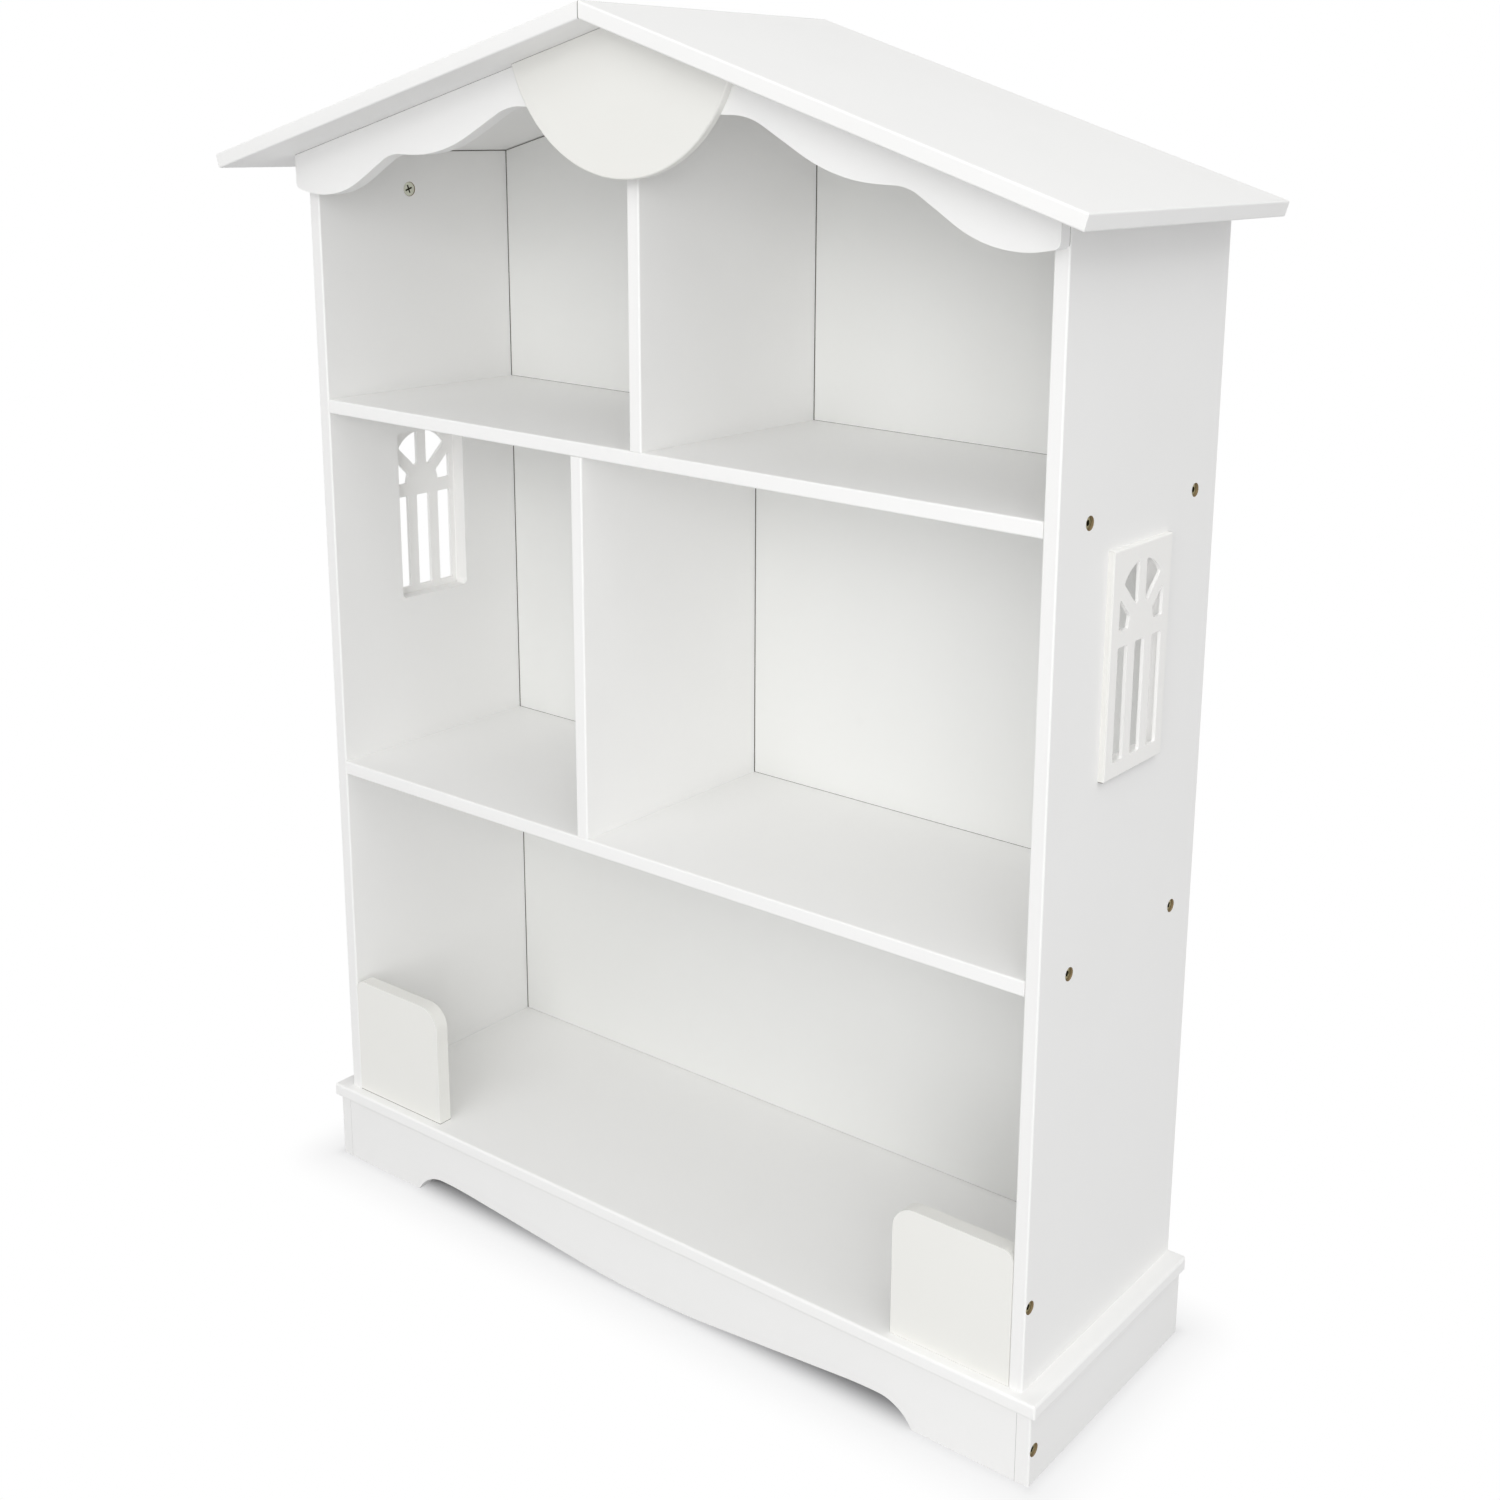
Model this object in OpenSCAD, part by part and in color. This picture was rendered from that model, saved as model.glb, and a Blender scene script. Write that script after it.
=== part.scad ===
// House shaped children's bookcase, painted board, flat-pack construction.
// X runs across the front, Y to the back, Z up. Origin: middle of the footprint, on the floor.

/* [Carcass] */
// Width over the two end panels
body_w = 740; // [640:5:860]
// Depth of the end panels
side_depth = 223; // [200:1:260]
// Thickness of every painted board
board_t = 12; // [11:0.5:14]
// Clear height of the bottom bay
lower_bay_h = 309; // [260:1:360]
// Clear height of the middle bay
middle_bay_h = 313; // [260:1:360]
// Clear height of the upper bay at the inner face of the end panels
upper_bay_h = 206.5; // [180:0.5:260]
// Middle of the divider in the upper bay, measured from the middle of the bookcase
upper_divider_x = -3; // [-60:1:60]
// Middle of the divider in the middle bay, measured from the middle of the bookcase
middle_divider_x = -66; // [-200:1:200]
// Radius of the eased edges of the boards
edge_r = 1.5; // [0.5:0.5:2.5]

/* [Roof] */
// Slope of the roof in degrees
roof_slope = 16.2; // [14:0.1:18]
// Length of a roof board down the slope, from ridge to eave
roof_len = 432; // [400:1:500]
// How far the roof stands out in front of the end panels
roof_front_overhang = 55; // [30:1:70]
// How far the roof stops short of the rear edges of the end panels
roof_rear_inset = 2; // [0:0.5:8]
// Hairline left where a board meets the slope of the roof
slope_gap = 0.1; // [0.05:0.05:0.3]

/* [Gable board] */
// Thickness of the gable board
trim_t = 12; // [10:0.5:15]
// Depth of the lowest point of the board below the roof at the outer face of the end panels
trim_low_drop = 30.4; // [24:0.1:36]
// Distance from the outer end to the start of the inner fall
inner_fall_start = 266; // [262:1:280]
// Run of the inner fall
inner_fall_run = 126; // [118:1:130]
// Run of the roof slope that sets the drop of the inner fall
inner_fall_step = 139; // [130:1:144]
// Radius of the crest of the inner fall
inner_crest_r = 55; // [30:1:70]
// Radius of the hollow of the inner fall
inner_hollow_r = 145; // [100:1:160]
// Distance from the outer end to the start of the outer fall
outer_fall_start = 129; // [120:1:134]
// Run of the outer fall
outer_fall_run = 99.5; // [92:0.5:104]
// Run of the roof slope that sets the drop of the outer fall
outer_fall_step = 125.5; // [116:0.5:130]
// Radius of the crest of the outer fall
outer_crest_r = 40; // [20:1:50]
// Radius of the hollow of the outer fall
outer_hollow_r = 100; // [80:1:110]
// Radius of the lower outer corner
trim_corner_r = 5; // [2:0.5:12]
// Radius of the round plate in the gable
disc_r = 112; // [95:1:120]
// Thickness of the round plate
disc_t = 6; // [4:0.5:9]
// Radius of the eased rim of the round plate
disc_rim_r = 1.5; // [0.5:0.5:2]
// Centre of the round plate above the underside of the ridge
disc_rise = 2.5; // [0:0.5:8]

/* [Windows] */
// Width of the window panel
window_w = 81; // [76:1:110]
// Height of the window panel
window_h = 166; // [150:1:180]
// Thickness of the window panel
window_t = 6; // [4:0.5:9]
// Radius of the eased outer edges of the window panel
window_edge_r = 1; // [0.5:0.5:2]
// Top of the window panel below the upper shelf
window_drop = 18; // [8:1:60]
// Middle of the window panel behind the front edge of the end panel
window_y = 108; // [90:1:125]
// Width of the frame on each side of the openings
window_frame_side = 9; // [8:0.5:14]
// Height of the frame above the openings
window_frame_top = 14; // [10:0.5:20]
// Height of the frame below the openings
window_frame_bottom = 12; // [10:0.5:20]
// Width of the bars between the openings
window_bar = 12.4; // [8:0.2:14]
// Width of the spokes of the fanlight
spoke_w = 12; // [8:0.5:13]
// Radius of the hub of the fanlight
hub_r = 19.6; // [16:0.2:21]
// Height of the straight jambs under the arch of the fanlight
arch_jamb_h = 15.5; // [8:0.5:20]
// Radius in the corners of the openings
opening_corner_r = 1.6; // [1:0.1:2]
// How far the cut-out in the end panel stands clear of the openings
cutout_margin = 5.5; // [2:0.5:7]
// Radius in the corners of the cut-out
cutout_corner_r = 4; // [2:0.5:8]

/* [Base and plinth] */
// Height of the plinth
plinth_h = 59; // [54:1:90]
// How far the base board stands out beyond each end panel
base_side_overhang = 16.5; // [10:0.5:30]
// How far the base board stands out in front of the end panels
base_front_overhang = 8.5; // [4:0.5:20]
// Radius of the eased edges and corners of the base board
base_edge_r = 2.5; // [1:0.5:4]
// Set-back of the plinth ends under the base board
plinth_side_inset = 5; // [0:0.5:8]
// Set-back of the apron under the front edge of the base board
plinth_front_inset = 3.5; // [0:0.5:6]
// Length of each foot of the apron, measured from the outer face of the plinth end
foot_len = 105; // [60:1:160]
// Height of the cut-out at its highest point
arch_h = 18.5; // [12:0.5:30]
// Radius of the rounded rise beside each foot
foot_arc_r = 37; // [30:1:60]
// Height of the cut-out in the middle of the apron
arch_mid_h = 2.2; // [1:0.1:8]
// Radius where the cut-out begins to come down
arch_crest_r = 420; // [200:10:600]
// Radius of the belly in the middle of the apron
arch_belly_r = 900; // [400:20:1200]

/* [Book stops] */
// Width of a book stop
stop_w = 107; // [70:1:140]
// Height of a book stop
stop_h = 110; // [90:1:160]
// Radius of the free upper corner
stop_corner_r = 20; // [8:1:35]
// Radius of the upper corner beside the end panel
stop_wall_r = 9; // [2:1:15]

/* [Back] */
// Thickness of the back panels
back_t = 4; // [3:0.5:5]
// Depth of clear space behind the back panels
back_recess = 12; // [8:1:20]
// Depth of the grooves for the back panels
back_groove = 5; // [3:0.5:7]
// Play of the back panels in their grooves
groove_gap = 0.3; // [0.2:0.1:0.6]

/* [Fasteners] */
// Head of the countersunk joint screws
screw_head_d = 10; // [8:0.5:10.5]
// Shank of the joint screws
screw_d = 5; // [4:0.5:6]
// How far the heads of the joint screws sit below the face of the board
screw_sink = 1.5; // [0:0.1:2.5]
// Length of the joint screws
screw_len = 40; // [30:1:45]
// Driver socket in the head, across flats
screw_socket = 4; // [3:0.5:4]
// Screws in the shelf ends, behind the front edge of the end panels
screw_y_front = 40; // [25:1:60]
// Rear screws, in front of the rear edge of the end panels
screw_rear_in = 33; // [26:1:60]
// Screws of the book stops above the base board
stop_screw_h = 67; // [40:1:80]
// Screws of the plinth above the floor
plinth_screw_h = 28; // [26:1:34]
// Diameter of the cams
cam_d = 12; // [10:0.5:14]
// Depth of the cams
cam_depth = 9.5; // [8:0.5:9.5]
// How far the cams sit below the face of the board
cam_sink = 0.5; // [0:0.1:0.8]
// Turn of the cross slot of a locked cam, in degrees
cam_turn = 20; // [0:5:90]
// Middle of a cam below the joint that it draws together
cam_reach = 31; // [24:1:36]
// Cams of the end panels, behind their front edge
roof_cam_y = 95; // [80:1:140]
// Shank of the cam bolts
cam_bolt_d = 5; // [4:0.5:6]
// Thread of the cam bolts in the board
cam_bolt_bite = 8; // [6:0.5:8]
// Diameter of the wooden dowels
dowel_d = 6; // [5:0.5:6]
// Length of the wooden dowels
dowel_len = 24; // [20:1:26]
// Part of a dowel that sits in the face of a board
dowel_bite = 7; // [5:0.5:7]
// Diameter of the dowels across the ridge
ridge_dowel_d = 5; // [4:0.5:5]
// Length of the dowels across the ridge
ridge_dowel_len = 16; // [12:1:18]
// Head of the short screws behind the round plate
small_head_d = 7; // [5:0.5:8]
// Shank of the short screws
small_screw_d = 3.5; // [3:0.5:4]
// Length of the short screws in the round plate
small_bite = 3; // [2:0.5:3.5]
// Screws of the round plate, from the middle of the bookcase
disc_screw_x = 45; // [30:1:70]
// Dowels of the dividers behind the front edge: front row
dowel_y_front = 30; // [24:1:60]
// Dowels of the dividers in front of the rear edge of the end panels: rear row
dowel_rear_in = 63; // [45:1:90]
// Dowels between the end panels and the roof, behind the front edge: front row
roof_dowel_y_front = 35; // [30:1:60]
// Dowels between the end panels and the roof, in front of the rear edge: rear row
roof_dowel_rear_in = 48; // [30:1:80]
// How far the dowels of the middle divider stand behind those of the upper one
middle_dowel_shift = 15; // [10:1:20]
// Cams of the plinth behind the front edge of the end panels: front pair
plinth_cam_y_front = 70; // [60:1:90]
// Cams of the plinth in front of the rear edge of the end panels: rear pair
plinth_cam_rear_in = 63; // [50:1:90]
// Dowels in the ends of the gable board, below the roof
trim_dowel_drop = 15; // [12:0.5:18]
// Outer dowels in the top of the gable board, from its outer end
trim_dowel_in_outer = 80; // [60:1:110]
// Inner dowels in the top of the gable board, from its outer end
trim_dowel_in_inner = 220; // [190:1:240]
// Dowels of a book stop, from each of its ends
stop_dowel_in = 25; // [15:1:30]
// Outer dowels of the apron, from its ends
apron_dowel_in = 150; // [110:1:200]
// Play around fasteners in their holes, on the diameter
hole_play = 0.2; // [0.1:0.1:0.4]

/* [Hidden] */
$fn = 48;
eps = 0.01;
arc_steps = 12;

// Places across the front
half_w = body_w / 2;
inner_half = half_w - board_t;
base_half = half_w + base_side_overhang;
plinth_half = base_half - plinth_side_inset;
side_mid_x = half_w - board_t / 2;
apron_half = plinth_half - board_t;

// Places from front to back
front_y = (roof_front_overhang - side_depth) / 2;
rear_y = front_y + side_depth;
roof_front_y = front_y - roof_front_overhang;
roof_depth = roof_front_overhang + side_depth - roof_rear_inset;
base_front_y = front_y - base_front_overhang;
apron_front_y = base_front_y + plinth_front_inset;
apron_mid_y = apron_front_y + board_t / 2;
back_y = rear_y - back_recess - back_t;
shelf_depth = back_y - groove_gap - front_y;
stop_mid_y = front_y + board_t / 2;
trim_mid_y = front_y - trim_t / 2;
trim_front_y = front_y - trim_t;
front_screw_y = front_y + screw_y_front;
rear_screw_y = rear_y - screw_rear_in;
front_dowel_y = front_y + dowel_y_front;
rear_dowel_y = rear_y - dowel_rear_in;
front_cam_y = front_y + plinth_cam_y_front;
rear_cam_y = rear_y - plinth_cam_rear_in;

// Levels
base_top = plinth_h + board_t;
shelf_middle_top = base_top + lower_bay_h + board_t;
shelf_upper_top = shelf_middle_top + middle_bay_h + board_t;
shelf_middle_mid = shelf_middle_top - board_t / 2;
shelf_upper_mid = shelf_upper_top - board_t / 2;
slope_rise = tan(roof_slope);
plumb_t = board_t / cos(roof_slope);
ridge_under = shelf_upper_top + upper_bay_h + inner_half * slope_rise;
ridge_top = ridge_under + plumb_t;
window_top = shelf_upper_top - board_t - window_drop;
window_bottom = window_top - window_h;
function roof_under(x) = ridge_under - abs(x) * slope_rise;

// Fasteners
cam_bolt_len = cam_reach + cam_bolt_bite - hole_play;
cam_slot_len = 0.62 * cam_d;
cam_slot_w = cam_d / 8;
cam_slot_depth = cam_depth / 5;
ridge_dowels_n = 4;
ridge_dowel_z = ridge_under + plumb_t / 2 - ridge_dowel_len * slope_rise / 4;
trim_dowel_z = roof_under(side_mid_x) - trim_dowel_drop;
trim_dowel_xs = [half_w - trim_dowel_in_outer, half_w - trim_dowel_in_inner];
apron_dowel_x = apron_half - apron_dowel_in;
back_half = inner_half + back_groove - groove_gap;

// Scallops of the gable board
trim_under = roof_under(half_w) - trim_low_drop;
outer_fall_x = half_w - outer_fall_start;
inner_fall_x = half_w - inner_fall_start;
outer_drop = outer_fall_step * slope_rise;
inner_drop = inner_fall_step * slope_rise;
mid_tread = trim_under + outer_drop;
top_tread = mid_tread + inner_drop;

// Round plate and its screws, half way up the gable board behind it
disc_z = ridge_under + disc_rise;
disc_screw_z = (top_tread + roof_under(disc_screw_x)) / 2;

// Window openings, on a panel whose lower left corner is at the origin
opening_w = window_w - 2 * window_frame_side;
slot_w = (opening_w - 2 * window_bar) / 3;
arch_r = opening_w / 2;
arch_z = window_h - window_frame_top - arch_r;
hub_z = arch_z - arch_jamb_h;
slot_top = hub_z - window_bar;
cutout_w = opening_w + 2 * cutout_margin;
cutout_bottom = window_bottom + window_frame_bottom - cutout_margin;
cutout_h = window_h - window_frame_bottom - window_frame_top + 2 * cutout_margin;

// Apron cut-out
arch_half = plinth_half - foot_len;
crest_x = arch_half - sqrt(arch_h * (2 * foot_arc_r - arch_h));

function hole(d) = d + hole_play;
function arc(cx, cz, r, from, to, first = 0) =
    [for (i = [first:arc_steps]) let (a = from + (to - from) * i / arc_steps)
        [cx + r * cos(a), cz + r * sin(a)]];

// Fall from (x, z) outwards: crest arc, straight, hollow arc. Radii too large for the run are
// brought down together.
function fall(x, z, run, drop, crest_r, hollow_r) =
    let (
        most = 0.98 * (run * run + drop * drop) / (2 * drop),
        fit = min(1, most / (crest_r + hollow_r)),
        c = fit * crest_r,
        h = fit * hollow_r,
        a = atan2(run, c + h - drop) - acos((c + h) / norm([run, c + h - drop]))
    )
    concat(arc(x, z - c, c, 90, 90 - a), arc(x + run, z - drop + h, h, 270 - a, 270));

// Half of the lower edge of the gable board, from the middle to the outer end
function trim_half_edge() =
    let (
        end_run = outer_fall_start - outer_fall_run,
        to_corner = outer_hollow_r - trim_corner_r,
        a = 270 + asin((end_run - trim_corner_r) / to_corner)
    )
    concat(
        fall(inner_fall_x, top_tread, inner_fall_run, inner_drop, inner_crest_r, inner_hollow_r),
        fall(outer_fall_x, mid_tread, outer_fall_run, outer_drop, outer_crest_r, outer_hollow_r),
        arc(half_w - end_run, trim_under + outer_hollow_r, outer_hollow_r, 270, a, 1),
        arc(half_w - trim_corner_r, trim_under + outer_hollow_r + to_corner * sin(a), trim_corner_r,
            a, 360, 1)
    );

// Half of the cut-out of the apron, from the middle to the foot
function arch_half_edge() =
    let (rise = fall(0, arch_h, crest_x, arch_h - arch_mid_h, arch_crest_r, arch_belly_r))
    concat(
        [for (i = [len(rise) - 1:-1:0]) [crest_x - rise[i][0], rise[i][1]]],
        arc(crest_x, arch_h - foot_arc_r, foot_arc_r, 90, asin(1 - arch_h / foot_arc_r), 1)
    );

// The other half of an outline, without a second point in the middle
function mirrored(points) =
    [for (i = [len(points) - 1:-1:0]) if (points[i][0] > eps) [-points[i][0], points[i][1]]];

// Outline with each corner rounded by its own radius, 0 for a sharp one
function unit(v) = v / norm(v);
function turned(v, a) = [v[0] * cos(a) - v[1] * sin(a), v[0] * sin(a) + v[1] * cos(a)];
function corner_arc(a, b, c, r) =
    let (
        u = unit(a - b),
        v = unit(c - b),
        half_angle = acos(u * v) / 2,
        centre = b + unit(u + v) * r / sin(half_angle),
        start = b + u * r / tan(half_angle) - centre,
        end = b + v * r / tan(half_angle) - centre,
        sweep = atan2(cross(start, end), start * end)
    )
    [for (i = [0:4]) centre + turned(start, sweep * i / 4)];
function rounded(points, radii) =
    let (n = len(points))
    [for (i = [0:n - 1]) each (radii[i] > 0
        ? corner_arc(points[(i + n - 1) % n], points[i], points[(i + 1) % n], radii[i])
        : [points[i]])];

// Rectangle from the origin with round corners: lower left, lower right, upper right, upper left
module eased(w, h, radii) {
    turns = [[0, 0, 0], [w, 0, 90], [w, h, 180], [0, h, 270]];
    difference() {
        square([w, h]);
        for (i = [0:3]) if (radii[i] > 0)
            translate([turns[i][0], turns[i][1]]) rotate(turns[i][2]) difference() {
                translate([-1, -1]) square(1 + radii[i]);
                translate([radii[i], radii[i]]) circle(radii[i]);
            }
    }
}

module mirror_x() {
    children();
    mirror([1, 0, 0]) children();
}

// Extrudes an outline drawn in X and Z backwards from the plane y
module upright(y, depth) {
    translate([0, y + depth, 0]) rotate([90, 0, 0]) linear_extrude(depth) children();
}

// Extrudes an outline drawn in Y and Z from x to the right
module along_x(x, length) {
    translate([x, 0, 0]) rotate([90, 0, 90]) linear_extrude(length) children();
}

// Board on its flat from the origin, with eased left, right, front and rear edges
module board(length, depth, left, right, front, rear) {
    intersection() {
        upright(0, depth) eased(length, board_t, [left, right, right, left]);
        along_x(0, length) eased(depth, board_t, [front, rear, rear, front]);
    }
}

// Everything under the roof boards, down to the given level
module under_roof(bottom, gap) {
    upright(roof_front_y, roof_depth + side_depth) polygon([
        [-base_half, bottom], [base_half, bottom],
        [base_half, roof_under(base_half) - gap], [0, ridge_under - gap],
        [-base_half, roof_under(base_half) - gap]
    ]);
}

// ---- Fasteners, each with the hole that takes it ----

// Countersunk screw along +X, the top of its head at the origin
module screw_form(head_d, shank_d, length) {
    rotate([0, 90, 0]) {
        cylinder(d = shank_d, h = length);
        cylinder(d1 = head_d, d2 = shank_d, h = (head_d - shank_d) / 2);
    }
}
module joint_screw() {
    translate([screw_sink, 0, 0]) difference() {
        screw_form(screw_head_d, screw_d, screw_len);
        translate([-eps, 0, 0]) rotate([0, 90, 0])
            cylinder(d = screw_socket / cos(30), h = screw_head_d / 4, $fn = 6);
    }
}
module joint_screw_hole() {
    translate([screw_sink, 0, 0])
        screw_form(hole(screw_head_d), hole(screw_d), screw_len + hole_play);
    rotate([0, 90, 0]) translate([0, 0, -1]) cylinder(d = hole(screw_head_d), h = 1 + screw_sink);
}
module disc_screw() {
    screw_form(small_head_d, small_screw_d, trim_t + small_bite);
}
module disc_screw_hole() {
    screw_form(hole(small_head_d), hole(small_screw_d), trim_t + small_bite + hole_play);
}

// Dowel along Z, with bite above the joint and the rest below it
module dowel(bite) {
    translate([0, 0, bite - dowel_len]) cylinder(d = dowel_d, h = dowel_len);
}
module dowel_hole(bite) {
    translate([0, 0, bite - dowel_len - hole_play])
        cylinder(d = hole(dowel_d), h = dowel_len + 2 * hole_play);
}
module ridge_dowel() {
    rotate([0, 90, 0]) cylinder(d = ridge_dowel_d, h = ridge_dowel_len, center = true);
}
module ridge_dowel_hole() {
    rotate([0, 90, 0])
        cylinder(d = hole(ridge_dowel_d), h = ridge_dowel_len + 2 * hole_play, center = true);
}

// Cam let into the face of a board from -X, its bolt coming down from above
module cam() {
    difference() {
        translate([cam_sink, 0, 0]) rotate([0, 90, 0]) cylinder(d = cam_d, h = cam_depth);
        translate([board_t / 2, 0, 0]) cylinder(d = hole(cam_bolt_d), h = cam_d);
        translate([cam_sink - eps, 0, 0]) rotate([cam_turn, 0, 0]) rotate([0, 90, 0])
            linear_extrude(cam_slot_depth) {
                square([cam_slot_len, cam_slot_w], center = true);
                square([cam_slot_w, cam_slot_len], center = true);
            }
    }
}
module cam_hole() {
    translate([-1, 0, 0]) rotate([0, 90, 0])
        cylinder(d = hole(cam_d), h = 1 + cam_sink + cam_depth + hole_play);
}
module cam_bolt() {
    translate([board_t / 2, 0, hole_play]) cylinder(d = cam_bolt_d, h = cam_bolt_len);
}
module cam_bolt_hole() {
    translate([board_t / 2, 0, 0])
        cylinder(d = hole(cam_bolt_d), h = cam_bolt_len + 2 * hole_play);
}

// ---- Places of the fasteners ----

module at_shelf_screws(level) {
    mirror_x() for (y = [front_screw_y, rear_screw_y])
        translate([-half_w, y, level]) children();
}
module at_stop_screws() {
    mirror_x() translate([-half_w, stop_mid_y, base_top + stop_screw_h]) children();
}
module at_plinth_screws() {
    mirror_x() translate([-plinth_half, apron_mid_y, plinth_screw_h]) children();
}
module at_base_screws() {
    mirror_x() for (y = [front_screw_y, rear_screw_y])
        translate([side_mid_x, y, plinth_h]) rotate([0, -90, 0]) children();
}
module at_disc_screws() {
    mirror_x() translate([disc_screw_x, front_y, disc_screw_z]) rotate([0, 0, -90]) children();
}
module at_roof_cams() {
    mirror_x() translate([inner_half, front_y + roof_cam_y, roof_under(side_mid_x) - cam_reach])
        children();
}
module at_plinth_cams() {
    mirror_x() for (y = [front_cam_y, rear_cam_y])
        translate([apron_half, y, plinth_h - cam_reach]) children();
}
module at_roof_dowels() {
    mirror_x() for (y = [front_y + roof_dowel_y_front, rear_y - roof_dowel_rear_in])
        translate([side_mid_x, y, roof_under(side_mid_x)]) children();
}
module at_ridge_dowels() {
    for (i = [0:ridge_dowels_n - 1])
        translate([0, roof_front_y + (i + 0.5) * roof_depth / ridge_dowels_n, ridge_dowel_z])
            children();
}
module at_divider_feet(x, level, y_shift) {
    for (y = [front_dowel_y, rear_dowel_y])
        translate([x, y + y_shift, level]) mirror([0, 0, 1]) children();
}
module at_divider_heads(x, level, y_shift) {
    for (y = [front_dowel_y, rear_dowel_y]) translate([x, y + y_shift, level]) children();
}
module at_trim_end_dowels() {
    mirror_x() translate([side_mid_x, front_y, trim_dowel_z]) rotate([90, 0, 0]) children();
}
module at_trim_top_dowels() {
    mirror_x() for (x = trim_dowel_xs) translate([x, trim_mid_y, roof_under(x)]) children();
}
module at_stop_dowels() {
    mirror_x() for (x = [inner_half - stop_dowel_in, inner_half - stop_w + stop_dowel_in])
        translate([x, stop_mid_y, base_top]) mirror([0, 0, 1]) children();
}
module at_apron_dowels() {
    for (x = [-apron_dowel_x, 0, apron_dowel_x])
        translate([x, apron_mid_y, plinth_h]) children();
}

// ---- Roof ----

module roof_right() {
    color("white") difference() {
        // Board turned down to the slope and cut off upright at the ridge
        intersection() {
            translate([0, roof_front_y, ridge_top]) rotate([0, roof_slope, 0])
                translate([-board_t, 0, -board_t])
                board(board_t + roof_len, roof_depth, 0, edge_r, edge_r, edge_r);
            translate([0, roof_front_y - 1, shelf_upper_top])
                cube([2 * half_w, roof_depth + 2, 2 * half_w]);
        }
        at_ridge_dowels() ridge_dowel_hole();
        at_roof_dowels() dowel_hole(dowel_bite);
        at_trim_top_dowels() dowel_hole(dowel_bite);
        at_roof_cams() cam_bolt_hole();
    }
}
module roof_left() {
    mirror([1, 0, 0]) roof_right();
}

// ---- Gable ----

// The lower edge falls in two waves on each side, from crest to hollow
module gable_trim() {
    half_edge = trim_half_edge();
    color("white") difference() {
        upright(trim_front_y, trim_t) polygon(concat(
            mirrored(half_edge), half_edge,
            [
                [half_w, roof_under(half_w) - slope_gap],
                [0, ridge_under - slope_gap],
                [-half_w, roof_under(half_w) - slope_gap]
            ]
        ));
        at_trim_end_dowels() dowel_hole(dowel_bite);
        at_trim_top_dowels() dowel_hole(dowel_bite);
        at_disc_screws() disc_screw_hole();
    }
}

// Round plate with an eased rim, its top cut to the roof
module gable_disc() {
    color("white") difference() {
        intersection() {
            translate([0, trim_front_y, disc_z]) rotate([90, 0, 0])
                rotate_extrude($fn = 96) eased(disc_r, disc_t, [0, 0, disc_rim_r, 0]);
            under_roof(disc_z - 2 * disc_r, slope_gap);
        }
        at_disc_screws() disc_screw_hole();
    }
}

// ---- Ends and their windows ----

module end_outline() {
    translate([inner_half, front_y])
        eased(board_t, side_depth, [edge_r, edge_r, edge_r, edge_r]);
}
module side_right() {
    color("white") difference() {
        intersection() {
            translate([0, 0, base_top]) linear_extrude(ridge_under - base_top) end_outline();
            under_roof(base_top, slope_gap);
        }
        // Groove for the back panels
        translate([inner_half - 1, back_y - groove_gap, base_top - 1])
            cube([1 + back_groove, back_t + 2 * groove_gap, ridge_top]);
        // Cut-out behind the window panel
        along_x(inner_half - 1, board_t + 2)
            translate([front_y + window_y - cutout_w / 2, cutout_bottom])
            eased(cutout_w, cutout_h, [for (i = [0:3]) cutout_corner_r]);
        for (z = [shelf_middle_mid, shelf_upper_mid]) at_shelf_screws(z) joint_screw_hole();
        at_stop_screws() joint_screw_hole();
        at_base_screws() joint_screw_hole();
        at_roof_cams() cam_hole();
        at_roof_cams() cam_bolt_hole();
        at_roof_dowels() dowel_hole(dowel_bite);
        at_trim_end_dowels() dowel_hole(dowel_bite);
    }
}
module side_left() {
    mirror([1, 0, 0]) side_right();
}

// Openings of the fanlight on one side of the middle of the window. Points are measured from the
// middle of the hub. A spoke edge runs at 45 degrees, half a spoke to one side of the middle.
function along_spoke(t, side) =
    [t - side * spoke_w / 2, t + side * spoke_w / 2] / sqrt(2);
function spoke_at_hub(side) = along_spoke(sqrt(hub_r * hub_r - spoke_w * spoke_w / 4), side);
function spoke_at_arch(side) =
    let (
        middle = arch_jamb_h / sqrt(2),
        off = side * spoke_w / 2 - middle
    )
    along_spoke(middle + sqrt(arch_r * arch_r - off * off), side);
function arch_arc(from, to, steps) =
    [for (i = [1:steps - 1]) let (a = from + (to - from) * i / steps)
        [arch_r * cos(a), arch_jamb_h + arch_r * sin(a)]];
function arch_angle(p) = atan2(p[1] - arch_jamb_h, p[0]);

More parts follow.
